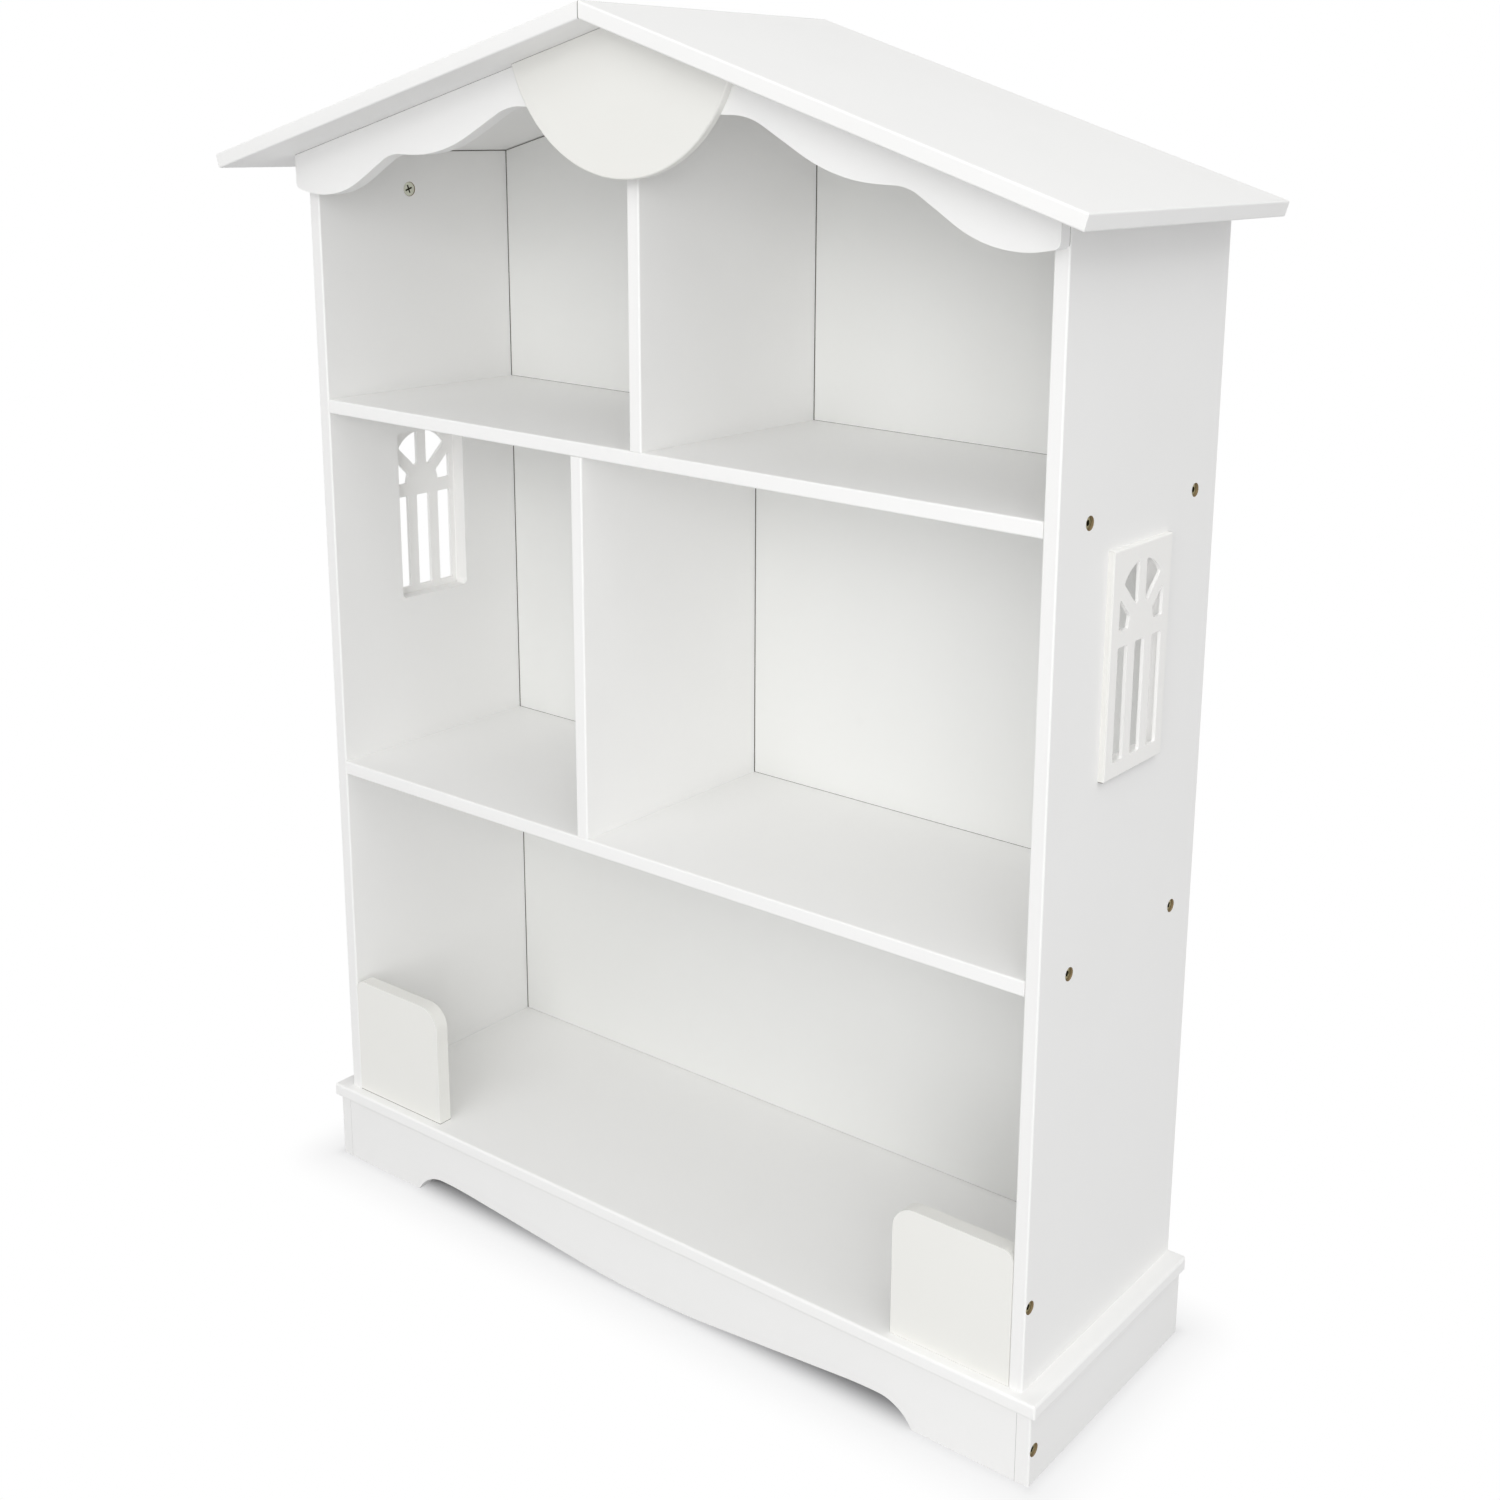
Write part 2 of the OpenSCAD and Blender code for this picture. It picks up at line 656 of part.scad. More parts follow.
module fan_openings() {
    bar = window_bar / 2;
    r = opening_corner_r;
    // Upper opening: bar side, arch, spoke, hub
    bar_hub = [bar, sqrt(hub_r * hub_r - bar * bar)];
    bar_arch = [bar, arch_jamb_h + sqrt(arch_r * arch_r - bar * bar)];
    upper_arch = arch_arc(arch_angle(bar_arch), arch_angle(spoke_at_arch(1)), 6);
    polygon(rounded(
        concat([bar_hub, bar_arch], upper_arch, [spoke_at_arch(1), spoke_at_hub(1)]),
        concat([r / 2, r], [for (p = upper_arch) 0], [r, r / 2])
    ));
    // Lower opening: sill, jamb, arch, spoke, hub
    hub_angle = atan2(spoke_at_hub(-1)[1], spoke_at_hub(-1)[0]);
    lower_arch = concat([[arch_r, arch_jamb_h]], arch_arc(0, arch_angle(spoke_at_arch(-1)), 2));
    hub_arc = [for (i = [2:-1:1]) hub_r * [cos(hub_angle * i / 3), sin(hub_angle * i / 3)]];
    polygon(rounded(
        concat([[hub_r, 0], [arch_r, 0]], lower_arch, [spoke_at_arch(-1), spoke_at_hub(-1)], hub_arc),
        concat([r / 2, r], [for (p = lower_arch) 0], [r, r / 2], [for (p = hub_arc) 0])
    ));
}
module window_openings() {
    for (i = [0:2])
        translate([window_frame_side + i * (slot_w + window_bar), window_frame_bottom])
            eased(slot_w, slot_top - window_frame_bottom, [for (i = [0:3]) opening_corner_r]);
    translate([window_w / 2, hub_z]) mirror_x() fan_openings();
}
module window_right() {
    r = window_edge_r;
    color("white") translate([half_w, front_y + window_y - window_w / 2, window_bottom])
        difference() {
            // Panel with the four edges of its outer face eased
            intersection() {
                linear_extrude(window_h) eased(window_t, window_w, [0, r, r, 0]);
                upright(0, window_w) eased(window_t, window_h, [0, r, r, 0]);
            }
            along_x(-1, window_t + 2) window_openings();
        }
}
module window_left() {
    mirror([1, 0, 0]) window_right();
}

// ---- Shelves, base and dividers ----

// Shelf board with its front edge eased, its top at the given level
module shelf(top) {
    translate([-inner_half, front_y, top - board_t])
        board(2 * inner_half, shelf_depth, 0, 0, edge_r, 0);
}
module shelf_upper() {
    color("white") difference() {
        shelf(shelf_upper_top);
        at_shelf_screws(shelf_upper_mid) joint_screw_hole();
        at_divider_feet(upper_divider_x, shelf_upper_top, 0) dowel_hole(dowel_bite);
        at_divider_heads(middle_divider_x, shelf_upper_top - board_t, middle_dowel_shift)
            dowel_hole(dowel_bite);
    }
}
module shelf_middle() {
    color("white") difference() {
        shelf(shelf_middle_top);
        at_shelf_screws(shelf_middle_mid) joint_screw_hole();
        at_divider_feet(middle_divider_x, shelf_middle_top, middle_dowel_shift)
            dowel_hole(dowel_bite);
    }
}

// Base board, eased on all four edges and at its corners
module base_board() {
    depth = rear_y - base_front_y;
    r = base_edge_r;
    color("white") difference() {
        intersection() {
            translate([-base_half, base_front_y, plinth_h]) linear_extrude(board_t)
                eased(2 * base_half, depth, [r, r, r, r]);
            translate([-base_half, base_front_y, plinth_h]) board(2 * base_half, depth, r, r, r, 0);
        }
        at_base_screws() joint_screw_hole();
        at_stop_dowels() dowel_hole(dowel_bite);
        at_apron_dowels() dowel_hole(dowel_bite);
        at_plinth_cams() cam_bolt_hole();
    }
}

// Upright board with its two front edges eased
module divider(x, bottom, height) {
    translate([x - board_t / 2, front_y, bottom]) linear_extrude(height)
        eased(board_t, shelf_depth, [edge_r, edge_r, 0, 0]);
}
module divider_upper() {
    color("white") difference() {
        intersection() {
            divider(upper_divider_x, shelf_upper_top, ridge_under - shelf_upper_top);
            under_roof(shelf_upper_top, slope_gap);
        }
        at_divider_feet(upper_divider_x, shelf_upper_top, 0) dowel_hole(dowel_bite);
    }
}
module divider_middle() {
    color("white") difference() {
        divider(middle_divider_x, shelf_middle_top, middle_bay_h);
        at_divider_feet(middle_divider_x, shelf_middle_top, middle_dowel_shift)
            dowel_hole(dowel_bite);
        at_divider_heads(middle_divider_x, shelf_upper_top - board_t, middle_dowel_shift)
            dowel_hole(dowel_bite);
    }
}

// ---- Back ----

module back_panel(bottom, top) {
    translate([-back_half, back_y, bottom]) cube([2 * back_half, back_t, top - bottom]);
}
module back_lower() {
    color("whitesmoke") back_panel(base_top, shelf_middle_mid);
}
module back_middle() {
    color("whitesmoke") back_panel(shelf_middle_mid, shelf_upper_mid);
}
module back_upper() {
    color("whitesmoke") intersection() {
        back_panel(shelf_upper_mid, ridge_under);
        under_roof(shelf_upper_mid, groove_gap);
    }
}

// ---- Book stops ----

module book_stop_right() {
    color("white") difference() {
        upright(front_y, board_t) translate([inner_half - stop_w, base_top])
            eased(stop_w, stop_h, [0, 0, stop_wall_r, stop_corner_r]);
        at_stop_screws() joint_screw_hole();
        at_stop_dowels() dowel_hole(dowel_bite);
    }
}
module book_stop_left() {
    mirror([1, 0, 0]) book_stop_right();
}

// ---- Plinth ----

// Apron with a long low cut-out that comes down again in the middle
module plinth_front() {
    half_edge = arch_half_edge();
    color("white") difference() {
        upright(apron_front_y, board_t) polygon(concat(
            [[-apron_half, 0]], mirrored(half_edge), half_edge,
            [[apron_half, 0], [apron_half, plinth_h], [-apron_half, plinth_h]]
        ));
        at_plinth_screws() joint_screw_hole();
        at_apron_dowels() dowel_hole(dowel_bite);
    }
}
module plinth_right() {
    color("white") difference() {
        translate([apron_half, apron_front_y]) linear_extrude(plinth_h)
            eased(board_t, rear_y - apron_front_y, [0, edge_r, edge_r, 0]);
        at_plinth_screws() joint_screw_hole();
        at_plinth_cams() cam_hole();
        at_plinth_cams() cam_bolt_hole();
    }
}
module plinth_left() {
    mirror([1, 0, 0]) plinth_right();
}

// ---- Fasteners in place ----

module shelf_screws() {
    color("gold") for (z = [shelf_middle_mid, shelf_upper_mid]) at_shelf_screws(z) joint_screw();
}
module stop_screws() {
    color("gold") at_stop_screws() joint_screw();
}
module plinth_screws() {
    color("gold") at_plinth_screws() joint_screw();
}
module base_screws() {
    color("gold") at_base_screws() joint_screw();
}
module disc_screws() {
    color("gold") at_disc_screws() disc_screw();
}
module roof_cams() {
    color("silver") at_roof_cams() cam();
}
module roof_cam_bolts() {
    color("silver") at_roof_cams() cam_bolt();
}
module plinth_cams() {
    color("silver") at_plinth_cams() cam();
}
module plinth_cam_bolts() {
    color("silver") at_plinth_cams() cam_bolt();
}
module roof_dowels() {
    color("tan") at_roof_dowels() dowel(dowel_bite);
}
module ridge_dowels() {
    color("tan") at_ridge_dowels() ridge_dowel();
}
module divider_dowels() {
    color("tan") {
        at_divider_feet(upper_divider_x, shelf_upper_top, 0) dowel(dowel_bite);
        at_divider_feet(middle_divider_x, shelf_middle_top, middle_dowel_shift) dowel(dowel_bite);
        at_divider_heads(middle_divider_x, shelf_upper_top - board_t, middle_dowel_shift)
            dowel(dowel_bite);
    }
}
module trim_dowels() {
    color("tan") {
        at_trim_end_dowels() dowel(dowel_bite);
        at_trim_top_dowels() dowel(dowel_bite);
    }
}
module stop_dowels() {
    color("tan") at_stop_dowels() dowel(dowel_bite);
}
module apron_dowels() {
    color("tan") at_apron_dowels() dowel(dowel_bite);
}

roof_left();
roof_right();
gable_trim();
gable_disc();
side_left();
side_right();
window_left();
window_right();
shelf_upper();
shelf_middle();
base_board();
divider_upper();
divider_middle();
back_upper();
back_middle();
back_lower();
book_stop_left();
book_stop_right();
plinth_front();
plinth_left();
plinth_right();
shelf_screws();
stop_screws();
plinth_screws();
base_screws();
disc_screws();
roof_cams();
roof_cam_bolts();
plinth_cams();
plinth_cam_bolts();
roof_dowels();
ridge_dowels();
divider_dowels();
trim_dowels();
stop_dowels();
apron_dowels();
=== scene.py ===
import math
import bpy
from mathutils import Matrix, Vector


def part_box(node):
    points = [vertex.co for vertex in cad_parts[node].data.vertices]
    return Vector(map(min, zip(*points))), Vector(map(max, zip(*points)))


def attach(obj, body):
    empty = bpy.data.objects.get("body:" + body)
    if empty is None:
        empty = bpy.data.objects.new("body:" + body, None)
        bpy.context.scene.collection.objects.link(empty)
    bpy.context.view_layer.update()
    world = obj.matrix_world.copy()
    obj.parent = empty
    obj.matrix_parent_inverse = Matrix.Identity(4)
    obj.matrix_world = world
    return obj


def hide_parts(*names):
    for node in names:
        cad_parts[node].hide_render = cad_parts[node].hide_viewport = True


bl_info = {
    "name": "House Shaped Bookcase",
    "version": (1, 0, 0),
    "blender": (4, 5, 0),
    "location": "3D View > Sidebar > Bookcase",
    "description": "Painted boards, turned fittings and a plain studio for the packed bookcase",
    "category": "Object",
}

from functools import partial, reduce

import bpy
import numpy as np
from mathutils import Matrix, Vector
from mathutils.geometry import tessellate_polygon

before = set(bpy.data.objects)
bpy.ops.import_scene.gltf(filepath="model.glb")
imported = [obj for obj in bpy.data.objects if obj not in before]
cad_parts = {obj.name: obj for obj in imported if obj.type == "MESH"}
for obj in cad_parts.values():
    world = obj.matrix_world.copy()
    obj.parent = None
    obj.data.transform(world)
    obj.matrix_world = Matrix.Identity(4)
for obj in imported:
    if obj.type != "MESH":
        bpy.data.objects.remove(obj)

BODY = "root"
MM = 0.001  # Lengths are in metres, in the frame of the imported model, where no comment says mm
PLANE = math.sqrt(0.5)  # Share of a slanted length along each axis at 45 degrees

# Drilled holes: radius around the screw heads and the cams, and how far a cam's hole goes past the
# middle of its panel. FAR is further out than any piece
HEAD_HOLE = 5.2 * MM
CAM_HOLE = 6.2 * MM
CAM_REACH = 5 * MM
FAR = 10.0

# Between these depths under the face of a screw or a cam, its recess has the deep tone of painted
# shade
SOCKET_MOUTH, SOCKET_FLOOR = 0.15 * MM, 2.8 * MM
CROSS_MOUTH, CROSS_FLOOR = 0.42 * MM, 2.1 * MM

SKIN = 0.4 * MM  # Left out at both faces of an end panel where its cut-out is painted lighter, as painted light
BITE = 8.0  # Length of the thread of a cam bolt in mm
ARC_STEPS = 8  # Points on an arc of a window panel, and on a rounded corner
CORNER_STEPS = 5

# Widths of the hairlines of painted shade in the joints, as shares of the one where an upright
# board meets the back
HAIRLINES = {
    "mitre": 0.4,  # Between the roof boards
    "under_roof": 0.2,  # On the gable board and the plate
    "gable_corners": 0.19,  # At the rear of the ends of the gable board
    "window_sill": 0.6,  # Under the window panels
    "book_stop_left": 0.6,  # Under the book stops
    "book_stop_right": 0.1,
    "plinth_top": 0.15,  # Under the base board
    "apron_ends": 0.25,
    "shelf": 0.3,  # Where a shelf meets the back
}

# How far the corners of boards are welded, the largest bend of a flat face, the smallest bend of an
# edge that is rounded, and of one that stays sharp in the shading of a new piece
WELD = 0.01 * MM
FLAT = math.radians(0.3)
SHARP = math.radians(30)
CREASE = math.radians(38)

# Three large soft lights: name, place and length of their sides in m
LIGHTS = (
    ("front", (0.0, -2.6, 2.4), 2.2),
    ("side", (2.6, -4.0, 1.4), 3.5),
    ("roof", (2.6, -0.6, 3.6), 3.0),
)
AIM = (0, 0, 0.5)
FLOOR_SIDES = 96
FLOOR_RADII = (1.0, 2.0, 4.0, 12.0)

# Painted boards by the kind of piece they are, and the boards of the back
ROOF = ("roof_left", "roof_right")
GABLE = ("gable_trim", "gable_disc")
ENDS = ("side_left", "side_right")
WINDOWS = ("window_left", "window_right")
SHELVES = ("shelf_upper", "shelf_middle", "base_board", "divider_upper", "divider_middle")
STOPS = ("book_stop_left", "book_stop_right")
PLINTH = ("plinth_front", "plinth_left", "plinth_right")
BACK = ("back_upper", "back_middle", "back_lower")


# ---- Sizes and colours that a user would change ----


def size(name, value, description):
    """A length of a piece, in metres."""
    return bpy.props.FloatProperty(
        name=name, description=description, default=value, min=0.0,
        subtype="DISTANCE", unit="LENGTH",
    )


def share(name, value, description):
    """A share from 0 to 1."""
    return bpy.props.FloatProperty(
        name=name, description=description, default=value, min=0.0, max=1.0, subtype="FACTOR"
    )


def angle(name, value, description):
    """An angle, in radians."""
    return bpy.props.FloatProperty(
        name=name, description=description, default=value, subtype="ANGLE", unit="ROTATION"
    )


def watts(name, value, description):
    """The power of a lamp."""
    return bpy.props.FloatProperty(
        name=name, description=description, default=value, min=0.0, unit="POWER"
    )


def colour(name, value, description):
    """A colour, as red, green and blue from 0 to 1."""
    return bpy.props.FloatVectorProperty(
        name=name, description=description, default=value, size=3, min=0.0, max=1.0, subtype="COLOR"
    )


class BOOKCASE_PG_boards(bpy.types.PropertyGroup):
    edge: size("Eased edge", 1.4 * MM, "How far the sharp edges of the painted boards are rounded")
    joint: size("Joint edge", 0.3 * MM, "How far edges are rounded where boards meet end to end")
    back_edge: size("Back edge", 0.2 * MM, "How far the edges of the back panels are rounded")
    # Hairlines at the joints: a dark colour for the gap and for the shade in it, painted into the
    # boards as painted shade
    seam: size("Hairline", 0.8 * MM, "Width of the dark hairline where a board meets the back")
    gap: colour("Gap", (0.12, 0.115, 0.10), "Depth of the hairline joints")
    paint: colour("Paint", (0.905, 0.903, 0.892), "Satin white paint of the boards")
    paint_shade: colour("Thin paint", (0.89, 0.888, 0.876), "The same paint where it lies thinner")
    # A lighter copy of the paint, which stands in for more light on the shelves and gable board:
    # painted light
    bright: colour("Bright paint", (0.935, 0.933, 0.922), "Paint of the shelves and gable board")
    lit_thin: colour("Thin bright paint", (0.92, 0.918, 0.905), "The same where it is thin")
    # A warmer white of its own, also darker than the paint, which stands in for less light on the
    # plate: partly painted shade
    trim: colour("Trim paint", (0.865, 0.862, 0.828), "Warmer white of the plate and stops")
    trim_shade: colour("Thin trim paint", (0.85, 0.845, 0.808), "The warmer white where it is thin")
    # The window face is a lighter white that stands in for more light on the panels, as painted
    # light; its upright edges are duller and darker, partly painted shade
    lit_pane: colour("Window paint", (0.925, 0.918, 0.895), "White of the faces of the window panels")
    dull_and_shaded_edge: colour("Window edge", (0.80, 0.795, 0.765), "Duller white of their upright edges")
    # The cut-outs behind the windows and the openings of the window panels get a lighter white than
    # the paint, which stands in for more light there: painted light
    cut: colour("Cut edges", (0.965, 0.96, 0.945), "Thick paint in the cut-outs behind the windows")
    back: colour("Back", (0.85, 0.853, 0.836), "White finish of the back panels")
    back_shade: colour("Marked back", (0.82, 0.823, 0.804), "The back where it is marked")
    bare: colour("Bare board", (0.34, 0.25, 0.13), "Fibreboard in the walls of the drilled holes")
    gloss: share("Paint roughness", 0.42, "Roughness of the satin paint")
    stipple: size("Stipple", 0.02 * MM, "Height of the fine stipple of the sprayed paint")


class BOOKCASE_PG_windows(bpy.types.PropertyGroup):
    width: size("Width", 83 * MM, "Width of a window panel")
    thick: size("Thickness", 4.8 * MM, "Thickness of its frame")
    lattice: size("Lattice", 2.8 * MM, "Thickness of its bars, which lie at the outside")
    bar: size("Bars", 10.1 * MM, "Width of the upright bars and of the spokes")
    across: size("Openings", 62 * MM, "Width from the first opening to the last")
    foot: size("Foot", 12 * MM, "Height of the frame under the slots")
    head: size("Head", 11.5 * MM, "Height of the frame over the fanlight")
    transom: size("Transom", 11.6 * MM, "Height of the bar under the fanlight")
    jamb: size("Jambs", 16 * MM, "Straight part of the sides of the fanlight")
    hub: size("Hub", 17.6 * MM, "Radius of the hub of the fanlight")
    corner: size("Corners", 1.8 * MM, "How far the corners of the openings are rounded")
    rim: size("Rim", 1.4 * MM, "Radius of the rounded rim around the outer face")
    # From this margin in, the openings are painted lighter as painted light; along the upright
    # edges the paint is duller and darker, partly as painted shade
    margin: size("Margin", 5 * MM, "How far inside its outline the paint of the openings starts")
    duller: size("Dull edges", 0.6 * MM, "Width of the duller paint along the upright edges")
    cut_low: bpy.props.FloatVectorProperty(
        name="Cut-out, low corner", size=2, unit="LENGTH", default=(3.5 * MM, 6.5 * MM),
        description="Low corner of the cut-out in the end panel, from the corner of the window",
    )
    cut_high: bpy.props.FloatVectorProperty(
        name="Cut-out, high corner", size=2, unit="LENGTH", default=(77.5 * MM, 157.5 * MM),
        description="The opposite corner of that cut-out",
    )


class BOOKCASE_PG_fittings(bpy.types.PropertyGroup):
    socket: size("Socket", 4.0 * MM, "Hexagon socket of the joint screws, across flats")
    pitch: size("Thread pitch", 3.0 * MM, "Pitch of the coarse thread of the joint screws")
    cross: size("Cross", 7.4 * MM, "Length of the cross recess in the face of a cam")
    cross_turn: angle("Turn of the cross", math.radians(20), "Turn of a locked cam from upright")
    flutes: bpy.props.IntProperty(
        name="Flutes", description="Number of flutes around a dowel", default=12, min=6, max=18
    )
    steel: colour("Screw steel", (0.46, 0.41, 0.24), "Yellow plated steel of the screws")
    zinc: colour("Cam zinc", (0.80, 0.81, 0.69), "Cast zinc of the cams and their bolts")
    # Near black painted into the sockets and cross recesses as painted shade
    deep_shade: colour("Recess", (0.055, 0.05, 0.025), "Inside of the sockets and cross recesses")
    wood: colour("Dowel wood", (0.62, 0.43, 0.25), "Beech of the dowels")


class BOOKCASE_PG_stage(bpy.types.PropertyGroup):
    eye: bpy.props.FloatVectorProperty(
        name="Camera", description="Place of the camera", size=3, subtype="XYZ", unit="LENGTH",
        default=(0.9964673, -1.1280911, 0.9847061),
    )
    turn: angle("Turn", 0.5892, "How far the camera is turned to the left from facing the back")
    tilt: angle("Tilt", 0.2396, "How far the camera looks down")
    roll: angle("Roll", 0.0309, "How far the camera leans to its side")
    lens: bpy.props.FloatProperty(name="Lens", description="Focal length in mm", default=46.2396)
    shift: bpy.props.FloatVectorProperty(
        name="Shift", description="Shift of the picture, in picture widths", size=2,
        default=(-0.143803, -0.122879),
    )
    floor: colour("Floor", (0.60, 0.60, 0.61), "Pale floor")
    deep_shade: size("Deep shadow", 22 * MM, "How far under the plinth the floor is in full shadow")
    near: size("Dark shadow", 12 * MM, "How far around the plinth the dark part of it reaches")
    far: size("Faint shadow", 60 * MM, "How far around the plinth the faint part of it reaches")
    faint: share("Faint part", 0.3, "Part of the shadow that is faint")
    sky: bpy.props.FloatProperty(name="Sky", description="Strength of the even light", default=0.51)
    front: watts("Front", 19.0, "Power of the light in front")
    side: watts("Side", 99.8, "Power of the light from the front right")
    roof: watts("Roof", 39.9, "Power of the high light at the right")


# ---- Materials: sums on surfaces, and one way to add a node ----


def dimmed(tone, left):
    """A colour with this share of it left."""
    return [left * c for c in tone]


class Field:
    """One value or colour that varies over a surface. Sums with it add Math nodes."""

    def __init__(self, finish, socket):
        self.finish, self.socket = finish, socket

    def math(self, operation, *values):
        inputs = dict(enumerate(values))
        return self.finish.add("ShaderNodeMath", {"operation": operation}, inputs)

    def __add__(self, other):
        return self.math("ADD", self, other)

    def __sub__(self, other):
        return self.math("SUBTRACT", self, other)

    def __rsub__(self, other):
        return self.math("SUBTRACT", other, self)

    def __mul__(self, other):
        return self.math("MULTIPLY", self, other)

    def __abs__(self):
        return self.math("ABSOLUTE", self)

    def __lt__(self, other):
        return self.math("LESS_THAN", self, other)

    def __gt__(self, other):
        return self.math("GREATER_THAN", self, other)

    def most(self, other):
        return self.math("MAXIMUM", self, other)

    __radd__ = __add__
    __rmul__ = __mul__


class Finish:
    """The nodes of a new material, with object coordinates, or those of the world."""

    def __init__(self, name, world=None):
        self.material = world or bpy.data.materials.new(name)
        self.material.use_nodes = True
        self.tree = self.material.node_tree
        self.tree.nodes.clear()
        if world is None:
            self.place = self.add("ShaderNodeTexCoord", out="Object")

    def add(self, kind, settings=None, inputs=None, out=0):
        """A node of this kind: its settings first, then the values or links of its sockets."""
        node = self.tree.nodes.new(kind)
        for key, value in (settings or {}).items():
            setattr(node, key, value)
        for key, value in (inputs or {}).items():
            if isinstance(value, Field):
                self.tree.links.new(value.socket, node.inputs[key])
            else:
                node.inputs[key].default_value = value
        return Field(self, node.outputs[out] if node.outputs else None)

    def vector(self, operation, *values, out=0):
        inputs = dict(enumerate(values))
        return self.add("ShaderNodeVectorMath", {"operation": operation}, inputs, out)

    def along(self, axis, vector=None):
        """One coordinate of the place on the surface, or of another vector."""
        return self.add("ShaderNodeSeparateXYZ", None, {0: vector or self.place}, out=axis)

    def mix(self, share_of_b, a, b):
        """Colour a, going over to colour b as the share goes to 1."""
        a, b = (c if isinstance(c, Field) else (*c, 1.0) for c in (a, b))
        return self.add(
            "ShaderNodeMix", {"data_type": "RGBA"}, {"Factor": share_of_b, 6: a, 7: b}, out=2
        )

    def noise(self, scale, detail, stretch=None):
        """Noise from 0 to 1 with so many lumps a metre, drawn out along the axes if asked."""
        where = self.place
        if stretch:
            where = self.add("ShaderNodeMapping", None, {"Vector": where, "Scale": stretch})
        return self.add(
            "ShaderNodeTexNoise", None, {"Vector": where, "Scale": scale, "Detail": detail}
        )

    def ramp(self, value, low, high):
        """0 up to low, 1 from high, and a smooth rise between them."""
        return self.add(
            "ShaderNodeMapRange",
            {"interpolation_type": "SMOOTHSTEP"},
            {"Value": value, "From Min": low, "From Max": high},
        )

    def drift(self, scale, thick, thin):
        """A slow drift of tint, from where the paint lies thick to where it lies thinner."""
        return self.mix(self.ramp(self.noise(scale, 3.0), 0.35, 0.75) * 0.6, thick, thin)

    def bump(self, height, distance, strength):
        inputs = {"Height": height, "Distance": distance, "Strength": strength}
        return self.add("ShaderNodeBump", None, inputs)

    def surface(self, **sockets):
        """The shader, with its sockets named in words joined by underscores."""
        inputs = {name.replace("_", " "): value for name, value in sockets.items()}
        shader = self.add("ShaderNodeBsdfPrincipled", None, inputs)
        self.add("ShaderNodeOutputMaterial", None, {"Surface": shader})
        return self.material

    def sprayed(self, boards, tone, bare=None):
        """Sprayed satin paint of this tone: a fine stipple under it and a drift of sheen, flatter
        where the board is bare."""
        rough = boards.gloss - 0.04 + 0.08 * self.noise(38.0, 2.0)
        if bare:
            rough = rough + 0.5 * bare
        fine = self.noise(520.0, 2.0) + 0.7 * self.noise(150.0, 1.0)
        stipple = self.bump(fine, boards.stipple, 0.6)
        return self.surface(Base_Color=tone, Roughness=rough, Normal=stipple)

    def bore(self, centre, spacing, axis, radius, beyond, inside):
        """1 within the radius of drilled holes, which lie at centre plus or minus spacing and run
        along the axis, between two distances from the middle plane."""
        folded = self.vector("ABSOLUTE", self.vector("SUBTRACT", self.place, centre))
        away = self.vector("SUBTRACT", folded, spacing)
        flat = self.vector("MULTIPLY", away, [float(i != axis) for i in range(3)])
        mask = self.vector("LENGTH", flat, out="Value") < radius
        depth = abs(self.along(axis))
        return mask * (depth > beyond) * (depth < inside)

    def within(self, low, high):
        """1 within a box given by its corners, and within its mirror image at the other end."""
        values = (abs(self.along(0)), self.along(1), self.along(2))
        inside = [(value > a) * (value < b) for value, a, b in zip(values, low, high)]
        return inside[0] * inside[1] * inside[2]

    def off_box(self, low, high):
        """Distance on the floor from the sides of a box, below 0 within them."""
        centre = ((low.x + high.x) / 2, (low.y + high.y) / 2, 0)
        half = ((high.x - low.x) / 2, (high.y - low.y) / 2, 0)
        folded = self.vector("ABSOLUTE", self.vector("SUBTRACT", self.place, centre))
        away = self.vector("SUBTRACT", folded, half)
        beyond = self.vector("LENGTH", self.vector("MAXIMUM", away, (0, 0, 0)), out="Value")
        within = self.along(0, away).most(self.along(1, away))
        return beyond + within.math("MINIMUM", within, 0.0)

    def seams(self, planes):
        """1 near any of the planes, each given by its normal, its distance from the origin and how
        wide the hairline along it is. The hairlines get the painted shade of the joints."""
        return reduce(Field.most, [
            abs(self.vector("DOT_PRODUCT", self.place, normal, out="Value") - at) < width
            for normal, at, width in planes
        ])


def paint_finish(name, boards, bores=(), seams=(), tones=None, cut=None):
    """Sprayed paint with a slow drift of tint where it lies thinner, dark hairlines of the gap and
    painted shade at the joints, a lighter tone as painted light within the corners of a cut-out,
    and bare fibreboard in the walls of the drilled holes. Tones are the colour of the paint and of
    where it lies thinner."""
    finish = Finish(name)
    bare = None
    base = finish.drift(7.0, *(tones or (boards.paint, boards.paint_shade)))
    # Painted light: the cut-out is made lighter than the paint
    if cut:
        base = finish.mix(finish.within(*cut), base, boards.cut)
    # Painted shade in the hairlines at the joints
    if seams:
        base = finish.mix(finish.seams(seams), base, boards.gap)
    if bores:
        bare = reduce(Field.most, [finish.bore(*bore) for bore in bores])
        fibre = finish.noise(900.0, 3.0)
        dark = dimmed(boards.bare, 0.55)
        base = finish.mix(bare, base, finish.mix(fibre, dark, boards.bare))
    return finish.sprayed(boards, base, bare)


